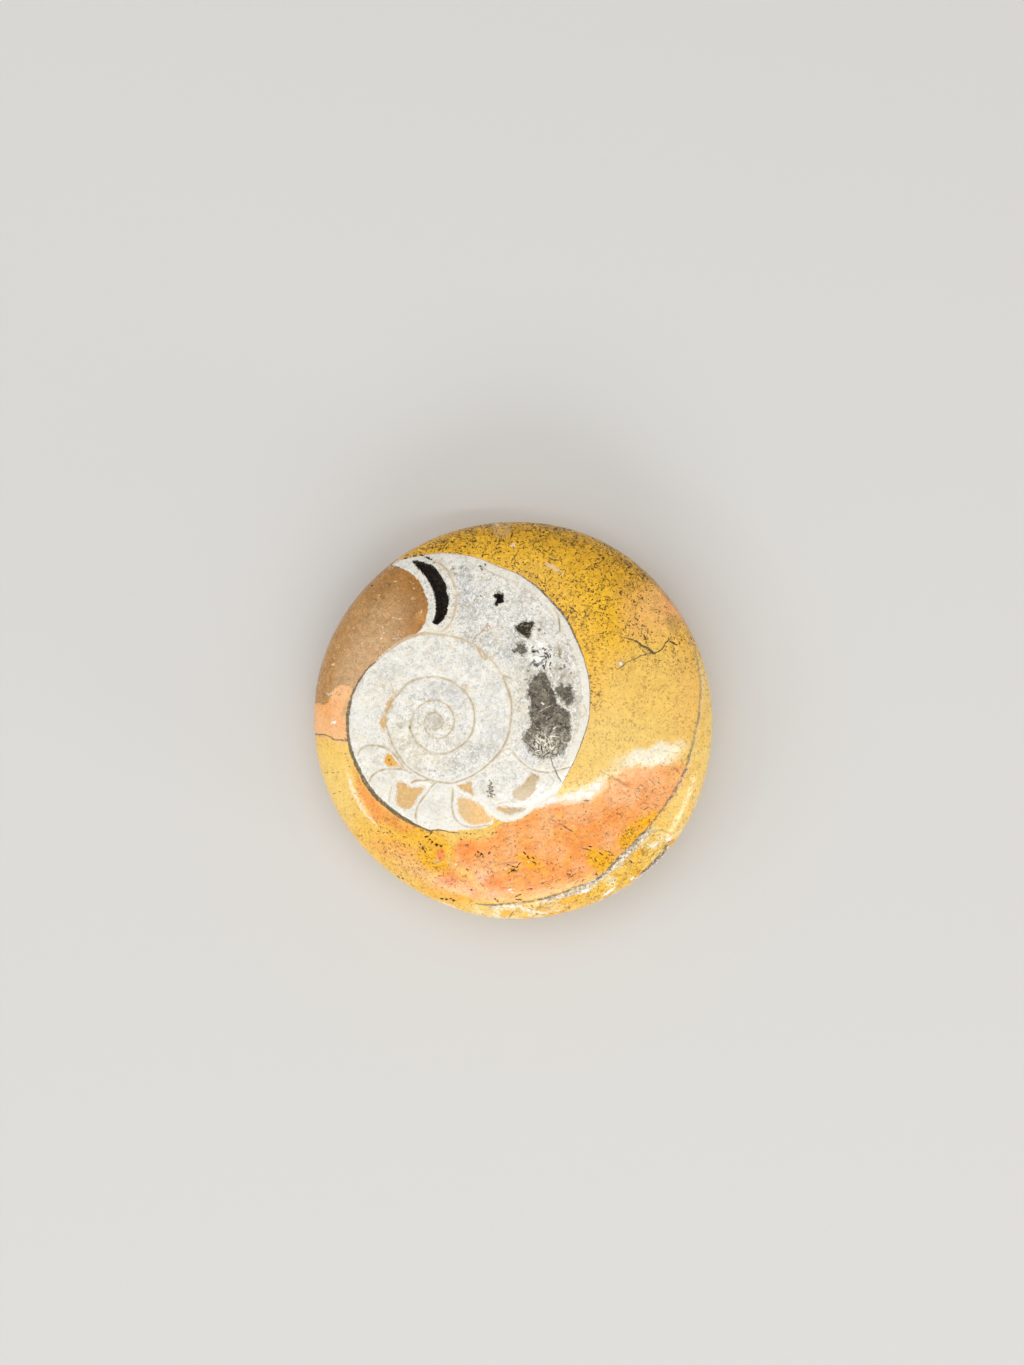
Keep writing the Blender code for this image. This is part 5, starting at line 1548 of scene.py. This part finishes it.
def calcite_look(g, px, u, v, fossil):
    """Calcite of the chambers: milky, with grey clouds, white veins, warm stains and, in places, fibres."""
    busy = g.value("f_busy")
    blot = g.noise(px, 5.2, 3.0, 0.58, 1.0, shift=521.0)
    light = g.add(
        g.ramp(g.noise(px, 1.7, 2.0, 0.65, shift=3.0), 0.3, 0.7, -0.07, 0.06),
        g.ramp(blot, 0.34, 0.66, -0.21, 0.12),
    )
    ground = g.colour("c_calcite")
    colour = g.vec("SCALE", ground, scale=g.add(g.mul(light, busy), 1.0))
    cloudy = g.add(g.noise(px, 15.0, 4.0, 0.6, 0.5, shift=561.0), g.mul(g.sub(blot, 0.5), 0.9))
    grey = g.clamped(g.mul(g.step(cloudy, 0.46, 0.70), g.mul(busy, 0.95)))
    colour = g.mix(grey, colour, g.vec("MULTIPLY", ground, (0.66, 0.66, 0.645)))
    warm = g.step(g.noise(px, 9.0, 4.0, 0.66, 0.3, shift=741.0), 0.50, 0.72)
    colour = g.mix(g.mul(warm, 0.62), colour, rgb((243, 229, 198)))
    veins = g.mul(g.ridge(g.noise(px, 6.2, 2.0, 0.55, 1.3, shift=501.0), 0.080, 0.0), g.step(g.noise(px, 4.0, 2.0, 0.6, shift=511.0), 0.38, 0.56))
    colour = g.mix(g.mul(veins, g.clamped(g.mul(busy, 0.9))), colour, rgb(SNOW))
    dull = g.mul(g.ridge(g.noise(px, 5.8, 2.0, 0.55, 1.3, shift=701.0), 0.070, 0.0), g.step(g.noise(px, 4.0, 2.0, 0.6, shift=721.0), 0.44, 0.60))
    colour = g.mix(g.mul(dull, g.mul(busy, 0.62)), colour, rgb((158, 154, 140)))
    dark_threads = g.mul(g.ridge(g.noise(px, 6.0, 4.0, 0.68, 0.4, shift=851.0), 0.040, 0.0), g.step(g.noise(px, 7.0, 2.0, 0.6, shift=861.0), 0.50, 0.62))
    colour = g.mix(g.mul(dark_threads, g.mul(g.step(busy, 0.55, 1.15), 0.75)), colour, rgb((122, 112, 92)))
    beige_threads = g.mul(g.ridge(g.noise(px, 9.0, 3.0, 0.6, 0.4, shift=871.0), 0.035, 0.0), g.step(g.noise(px, 8.0, 2.0, 0.6, shift=881.0), 0.46, 0.58))
    colour = g.mix(g.mul(beige_threads, 0.42), colour, rgb((222, 196, 156)))
    stain = g.mul(g.step(g.noise(px, 3.2, 3.0, 0.7, 0.4, shift=781.0), 0.62, 0.72), g.step(busy, 0.6, 1.15))
    colour = g.mix(g.mul(stain, 0.5), colour, rgb((190, 162, 116)))
    # fibres square to the whorl, round the ammonite's centre
    arm = g.vec("SUBTRACT", g_combine(g, u, v), (434.0, 720.0, 0.0))
    fan = g.vec("ADD", g.vec("SCALE", g.vec("NORMALIZE", arm), scale=26.0), g_combine(g, 0.0, 0.0, g.mul(g.vec("LENGTH", arm), 0.10)))
    hair = g.noise(fan, 1.15, 2.0, 0.6)
    fibre = g.value("f_fibre")
    colour = g.mix(g.mul(fibre, g.step(hair, 0.50, 0.66)), colour, rgb((204, 190, 162)))
    colour = g.mix(g.mul(g.mul(fibre, 0.7), g.step(hair, 0.46, 0.32)), colour, rgb(SNOW))
    # the shell's own wall: whiter, with a creamy inside edge
    wall = g.mul(g.step(fossil, 8.5, 4.5), g.step(u, 440.0, 490.0))
    colour = g.mix(g.mul(wall, 0.55), colour, rgb((246, 241, 226)))
    tick = g.step(g.noise(px, 2.4, 2.0, 0.6, shift=561.0), 0.60, 0.72)
    colour = g.mix(g.mul(g.mul(wall, tick), 0.5), colour, rgb((206, 178, 138)))
    inner = g.ridge(g.add(g.mul(g.sub(fossil, 8.0), 0.10), g.add(g.mul(g.sub(blot, 0.5), 0.6), 0.5)), 0.10, 0.0)
    return g.mix(g.mul(g.mul(inner, g.step(u, 470.0, 510.0)), 0.45), colour, rgb((214, 190, 152)))


def dark_look(g, px, u, v):
    """The grey-brown patches: felted, with pale and dark grain, and a few pale needles low down."""
    a = g.noise(px, 2.4, 4.0, 0.72, 0.35, shift=601.0)
    colour = g.mix(g.step(g.noise(px, 8.0, 3.0, 0.6, shift=621.0), 0.38, 0.62), rgb((66, 57, 41)), rgb((118, 109, 87)))
    colour = g.mix(g.mul(g.step(a, 0.54, 0.66), 0.62), colour, rgb((196, 188, 166)))
    colour = g.mix(g.mul(g.step(a, 0.48, 0.36), 0.72), colour, rgb((30, 23, 10)))
    threads = g.mul(g.ridge(g.noise(px, 4.0, 2.0, 0.6, 0.5, shift=641.0), 0.06, 0.0), g.step(g.noise(px, 5.0, 2.0, 0.6, shift=661.0), 0.46, 0.58))
    low = g.step(g.vec("DISTANCE", g_combine(g, u, v), (546.0, 745.0, 0.0)), 21.0, 9.0)
    colour = g.mix(g.mul(threads, g.add(g.mul(low, 0.55), 0.42)), colour, rgb((230, 223, 204)))
    colour = g.mix(g.mul(g.step(v, 738.0, 705.0), 0.28), colour, rgb((60, 52, 37)))
    # needles that spread from the foot of the main patch
    foot = g.vec("SUBTRACT", g_combine(g, u, v), (543.0, 756.0, 0.0))
    spread = g.vec("ADD", g.vec("SCALE", g.vec("NORMALIZE", foot), scale=6.0), g_combine(g, 0.0, 0.0, g.mul(g.vec("LENGTH", foot), 0.24)))
    needles = g.mul(g.step(g.noise(spread, 1.0, 3.0, 0.72, shift=681.0), 0.47, 0.57), g.step(g.noise(px, 3.0, 2.0, 0.6, shift=691.0), 0.38, 0.50))
    return g.mix(g.mul(g.mul(low, needles), 0.92), colour, rgb((240, 234, 216)))


def stone_material():
    material = bpy.data.materials.new("polished_fossil_limestone")
    material.use_nodes = True
    tree = material.node_tree
    tree.nodes.clear()
    g = Graph(tree)
    output = g.node("ShaderNodeOutputMaterial")
    shader = g.node("ShaderNodeBsdfPrincipled")
    tree.links.new(shader.outputs[0], output.inputs["Surface"])

    place = g.node("ShaderNodeTexCoord").outputs["Object"]
    px = g.vec("SCALE", place, scale=1.0 / UNIT)
    small = g.noise(px, 2.6, 3.0, 0.6, shift=13.0)
    fine = g.noise(px, 1.3, 2.0, 0.6, shift=3.0)
    jag = g.noise(px, 2.2, 2.0, 0.6, shift=77.0)
    jag_big = g.noise(px, 5.0, 2.0, 0.6, shift=87.0)
    patchy = g.noise(px, 7.0, 3.0, 0.6, shift=97.0)

    def edge(name, sway, low, high, by=jag):
        return g.step(g.add(g.value(name), g.mul(g.sub(by, 0.5), sway)), low, high)

    fossil = g.value("f_fossil")
    u, v = g.value("f_u"), g.value("f_v")
    flecks = flecks_look(g, px)
    base = rock_look(g, px, flecks)
    mud = edge("f_mud", 2.0, -0.4, 0.4)
    base = g.mix(mud, base, mud_look(g, px, u, v))
    in_shell = g.step(g.add(fossil, g.mul(g.sub(jag, 0.5), 1.4)), -0.65, 0.05)
    base = g.mix(in_shell, base, calcite_look(g, px, u, v, fossil))

    # ---- sediment that fills some chambers
    grain = g.add(1.0, g.add(g.ramp(small, 0.3, 0.7, -0.13, 0.13), g.ramp(fine, 0.3, 0.7, -0.10, 0.10)))
    tan = g.mix(g.step(patchy, 0.35, 0.7), rgb((224, 176, 102)), rgb((230, 188, 124)))
    tan = g.mix(g.step(u, 500.0, 512.0), tan, rgb((204, 178, 136)))
    base = g.mix(g.mul(edge("f_tan", 2.6, -0.9, 1.1), 0.90), base, g.vec("SCALE", tan, scale=grain))
    lined = g.mul(g.step(g.math("ABSOLUTE", g.add(g.value("f_tan"), -0.6)), 1.3, 0.3), g.step(patchy, 0.42, 0.60))
    base = g.mix(g.mul(lined, 0.45), base, rgb((192, 144, 88)))
    peach = g.mix(g.step(u, 462.0, 484.0), rgb((234, 196, 142)), rgb((250, 202, 134)))
    base = g.mix(g.mul(edge("f_peachfill", 2.4, -0.9, 1.0), 0.95), base, g.vec("SCALE", peach, scale=grain))
    base = g.mix(edge("f_yolk", 1.6, -0.7, 0.8), base, g.vec("SCALE", g.mix(g.step(u, 386.0, 401.0), rgb((236, 176, 76)), rgb((236, 196, 130))), scale=grain))

    # ---- lines: thin cores, broken by noise, with a faint halo beside the chamber walls
    def stroke(name, wander, softness, wider=0.0, ragged=0.0):
        away = g.math("ABSOLUTE", g.add(g.value(f"f_{name}_d"), g.mul(g.sub(jag_big, 0.5), wander)))
        if ragged:
            away = g.add(away, g.mul(g.sub(fine, 0.5), ragged))
        lead = g.sub(g.add(g.value(f"f_{name}_w"), wider), away)
        return g.mul(g.step(lead, -softness, softness), g.value(f"f_{name}_k"))

    faded = g.ramp(patchy, 0.36, 0.60, 0.35, 1.0)
    ribbon = g.mul(stroke("beige", 1.1, 1.2, 2.2), g.step(v, 742.0, 764.0))
    base = g.mix(g.mul(ribbon, g.mul(in_shell, 0.62)), base, rgb((252, 249, 240)))
    halo = g.mul(stroke("beige", 1.1, 1.1, 1.2), g.mul(faded, 0.58))
    base = g.mix(halo, base, rgb((222, 202, 166)))
    beige = g.mul(stroke("beige", 1.4, 0.6, 0.06, 0.8), g.mul(faded, 0.86))
    base = g.mix(beige, base, g.mix(g.step(v, 690.0, 640.0), rgb((170, 148, 112)), rgb((198, 164, 114))))
    brown = g.mul(stroke("brown", 0.8, 0.45), g.ramp(jag, 0.35, 0.55, 0.40, 1.0))
    base = g.mix(brown, base, g.mix(g.step(u, 500.0, 530.0), rgb((200, 148, 92)), rgb((76, 50, 20))))
    white = g.mul(stroke("white", 3.4, 0.6, 0.05, 3.4), g.ramp(small, 0.36, 0.55, 0.22, 1.0))
    base = g.mix(white, base, rgb((254, 250, 236)))

    # ---- crystals: dark felted patches, plates with black gaps, and the sugary seam
    hair_angle = g.vec("NORMALIZE", g.vec("SUBTRACT", g_combine(g, u, v), (547.0, 722.0, 0.0)))
    bristle = g.noise(g.vec("SCALE", hair_angle, scale=22.0), 1.0, 2.0, 0.65)
    dark = g.step(
        g.add(
            g.value("f_dark"),
            g.add(g.add(g.mul(g.sub(jag, 0.5), 4.0), g.mul(g.sub(jag_big, 0.5), 8.0)), g.mul(g.sub(bristle, 0.5), 3.0)),
        ),
        -1.4,
        1.6,
    )
    base = g.mix(g.mul(dark, 0.96), base, dark_look(g, px, u, v))
    patch = edge("f_patch", 2.4, -0.6, 0.8)
    sooty = g.mix(g.step(g.noise(px, 2.4, 2.0, 0.6, shift=681.0), 0.50, 0.66), rgb((54, 46, 32)), rgb((134, 125, 103)))
    base = g.mix(patch, base, sooty)
    plates = g.cells(px, 7.5, "DISTANCE_TO_EDGE", shift=7.0)
    gaps = g.mul(g.step(plates, 0.11, 0.04), g.step(g.noise(px, 4.5, 1.0, shift=811.0), 0.50, 0.58))
    crystals = g.value("f_crystals")
    base = g.mix(g.mul(crystals, g.mul(g.step(small, 0.42, 0.58), 0.75)), base, rgb((252, 250, 243)))
    base = g.mix(g.mul(crystals, g.mul(gaps, 0.88)), base, rgb((56, 45, 27)))
    base = g.mix(g.mul(g.mul(white, g.math("MAXIMUM", dark, patch)), 0.95), base, rgb((246, 242, 230)))

    seam = stroke("seam", 2.6, 0.8, 0.2, 3.0)
    sugar = g.noise(px, 3.0, 3.0, 0.70, 0.4, shift=821.0)
    seam_colour = g.mix(g.value("f_seam_tone"), rgb((196, 186, 162)), rgb((240, 208, 164)))
    seam_colour = g.mix(g.mul(g.step(sugar, 0.50, 0.60), 0.95), seam_colour, rgb((255, 252, 242)))
    seam_colour = g.mix(g.mul(g.step(sugar, 0.46, 0.37), 0.88), seam_colour, g.mix(g.value("f_seam_tone"), rgb((74, 62, 38)), rgb((196, 158, 104))))
    base = g.mix(seam, base, seam_colour)

    # ---- cavities
    vug = edge("f_vug", 1.3, -0.35, 0.25, jag_big)
    hollow = g.mix(g.step(g.noise(px, 2.6, 3.0, 0.6, shift=701.0), 0.48, 0.72), rgb((36, 23, 8)), rgb((98, 72, 38)))
    hollow = g.mix(g.mul(g.step(g.cells(px, 3.4, shift=40.0), 0.14, 0.05), 0.40), hollow, rgb((158, 142, 112)))
    base = g.mix(vug, base, hollow)

    # ---- dark seams and cracks, then the small marks
    tone = g.value("f_ink_tone")
    blotchy = g.ramp(patchy, 0.34, 0.64, -0.50, 0.60)
    thick = g.step(g.value("f_ink_w"), 0.55, 1.0)
    right = g.mul(g.mul(thick, g.step(u, 480.0, 510.0)), g.step(v, 672.0, 694.0))
    ink = g.mul(stroke("ink", 1.8, 0.5, g.mul(blotchy, thick), g.add(1.4, g.mul(right, 2.6))), g.ramp(jag, 0.34, 0.52, 0.68, 1.0))
    ink = g.mul(ink, g.blend(right, 1.0, g.ramp(g.noise(px, 3.6, 2.0, 0.65, shift=901.0), 0.40, 0.54, 0.22, 1.0)))
    ink_colour = g.mix(tone, rgb((34, 23, 5)), rgb((186, 176, 152)))
    ink_colour = g.mix(g.mul(g.step(small, 0.50, 0.64), 0.55), ink_colour, rgb((42, 35, 20)))
    base = g.mix(ink, base, ink_colour)
    marks = []
    for number in range(len(CHIPS)):
        split = g.node("ShaderNodeSeparateXYZ")
        g.put(split.inputs[0], g.colour(f"v_chip{number}"))
        away = g.vec("LENGTH", g_combine(g, split.outputs[0], split.outputs[1]))
        cover = g.step(g.add(away, g.add(g.mul(g.sub(fine, 0.5), 1.8), g.mul(g.sub(jag, 0.5), 2.4))), 1.14, 0.78)
        cover = g.mul(cover, split.outputs[2])
        shade = g.value(f"f_chip{number}")
        if number < DARK_SETS:
            tint = g.mix(shade, rgb((54, 32, 4)), rgb((196, 180, 152)))
            marks.append(cover)
        else:
            tint = g.mix(shade, rgb((255, 253, 246)), rgb((242, 202, 150)))
        base = g.mix(g.mul(cover, 0.97), base, tint)
    pits = g.math("MAXIMUM", g.math("MAXIMUM", marks[0], marks[1]), marks[2])

    # ---- surface
    rough = g.add(g.ramp(small, 0.3, 0.7, 0.10, 0.15), g.mul(mud, 0.05))
    rough = g.add(rough, g.mul(g.mul(flecks, g.sub(1.0, in_shell)), 0.06))
    rough = g.blend(dark, rough, 0.34)
    rough = g.blend(seam, rough, 0.28)
    rough = g.blend(patch, rough, 0.55)
    rough = g.blend(vug, rough, 0.75)
    rough = g.blend(g.mul(g.math("MAXIMUM", ink, pits), 0.8), rough, 0.3)
    flat_zone = g.step(g.vec("LENGTH", g_xy(g, place)), REST_DIAMETER / 2 + 0.0004, REST_DIAMETER / 2 - 0.0006)
    rest = g.step(g.value("f_under"), 0.97, 0.999)
    rough = g.add(rough, g.mul(g.mul(rest, flat_zone), 0.22))

    height = g.add(g.mul(g.sub(small, 0.5), 0.0000020), g.mul(g.sub(fine, 0.5), 0.0000012))
    height = g.sub(height, g.mul(g.mul(flecks, g.sub(1.0, in_shell)), 0.000007))
    height = g.sub(height, g.mul(g.math("MAXIMUM", ink, pits), 0.000030))
    height = g.sub(height, g.mul(beige, 0.000006))
    rugged = g.sub(g.noise(px, 2.2, 3.0, 0.6, shift=721.0), 0.5)
    height = g.add(height, g.mul(g.mul(dark, rugged), 0.00006))
    height = g.add(height, g.mul(g.mul(seam, rugged), 0.00003))
    height = g.add(height, g.mul(g.mul(patch, rugged), 0.00020))
    height = g.add(height, g.mul(g.mul(vug, rugged), 0.00045))
    bump = g.node("ShaderNodeBump")
    bump.inputs["Strength"].default_value = 1.0
    bump.inputs["Distance"].default_value = 1.0
    g.put(bump.inputs["Height"], height)

    g.put(shader.inputs["Base Color"], base)
    g.put(shader.inputs["Roughness"], rough)
    g.put(shader.inputs["Normal"], bump.outputs[0])
    shader.inputs["Metallic"].default_value = 0.0
    shader.inputs["IOR"].default_value = 1.46
    return material


def g_combine(g, a, b, c=0.0):
    node = g.node("ShaderNodeCombineXYZ")
    for socket, value in zip(node.inputs, (a, b, c)):
        g.put(socket, value)
    return node.outputs[0]


def g_xy(g, place):
    split = g.node("ShaderNodeSeparateXYZ")
    g.put(split.inputs[0], place)
    return g_combine(g, split.outputs[0], split.outputs[1])


# ---------------------------------------------------------------- setting
def add_floor():
    bm = bmesh.new()
    bmesh.ops.create_grid(bm, x_segments=1, y_segments=1, size=1.6)
    mesh = bpy.data.meshes.new("floor")
    bm.to_mesh(mesh)
    bm.free()
    floor = bpy.data.objects.new("floor", mesh)
    floor.location.z = -0.00005
    bpy.context.scene.collection.objects.link(floor)
    material = bpy.data.materials.new("pale_floor")
    material.use_nodes = True
    shader = material.node_tree.nodes["Principled BSDF"]
    shader.inputs["Base Color"].default_value = (0.70, 0.69, 0.67, 1.0)
    shader.inputs["Roughness"].default_value = 0.9
    mesh.materials.append(material)
    return floor


def area_light(name, place, size_x, size_y, radiance, look_at=(0.0, 0.0, 0.014), turn=0.0):
    """A soft box of a given brightness, turned to the stone."""
    data = bpy.data.lights.new(name, "AREA")
    data.shape = "RECTANGLE"
    data.size, data.size_y = size_x, size_y
    data.energy = radiance * math.pi * size_x * size_y
    light = bpy.data.objects.new(name, data)
    light.location = place
    aim = (Vector(look_at) - Vector(place)).to_track_quat("-Z", "Y")
    light.rotation_mode = "QUATERNION"
    light.rotation_quaternion = aim
    bpy.context.scene.collection.objects.link(light)
    return light


def add_lights():
    # One long strip overhead, parallel to X, makes the pale band across the lower right.
    data = bpy.data.lights.new("strip", "AREA")
    data.shape = "RECTANGLE"
    data.size, data.size_y = 0.84, 0.042
    data.energy = 7.4 * math.pi * 0.84 * 0.042
    strip = bpy.data.objects.new("strip", data)
    strip.location = (0.40, -0.150, 0.61)
    strip.rotation_euler = (0.0, 0.0, math.radians(3.5))
    bpy.context.scene.collection.objects.link(strip)
    # broad soft key, low on the near side
    area_light("key", (-0.05, -0.95, 0.50), 0.9, 0.35, 3.8)
    area_light("fill_left", (-0.75, -0.42, 0.56), 0.34, 0.030, 12.0)
    area_light("rim_right", (0.875, -0.455, 0.16), 0.34, 0.20, 6.4)
    area_light("window_left", (-0.80, 0.10, 0.66), 0.6, 0.6, 1.3)
    area_light("overhead", (-0.10, 0.25, 0.95), 0.9, 0.9, 1.0)


def add_world():
    world = bpy.data.worlds.new("soft_room")
    world.use_nodes = True
    background = world.node_tree.nodes["Background"]
    background.inputs[0].default_value = (1.0, 0.99, 0.97, 1.0)
    background.inputs[1].default_value = 0.465
    bpy.context.scene.world = world


def add_camera():
    data = bpy.data.cameras.new("camera")
    data.sensor_fit = "HORIZONTAL"
    data.sensor_width = 24.0
    data.lens = 24.0 * FOCAL / FRAME_W
    data.clip_start, data.clip_end = 0.01, 10.0
    camera = bpy.data.objects.new("camera", data)
    camera.location = EYE
    camera.rotation_euler = (0.0, 0.0, 0.0)
    bpy.context.scene.collection.objects.link(camera)
    bpy.context.scene.camera = camera


# ---------------------------------------------------------------- put together
add_camera()
stone = bpy.data.objects.new("fossil_stone_polished", stone_mesh())
bpy.context.scene.collection.objects.link(stone)
stone.data.materials.append(stone_material())
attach(stone, "root")
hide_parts("fossil_stone")
add_floor()
add_lights()
add_world()
bpy.context.scene.view_settings.view_transform = "Standard"
bpy.context.scene.view_settings.look = "None"
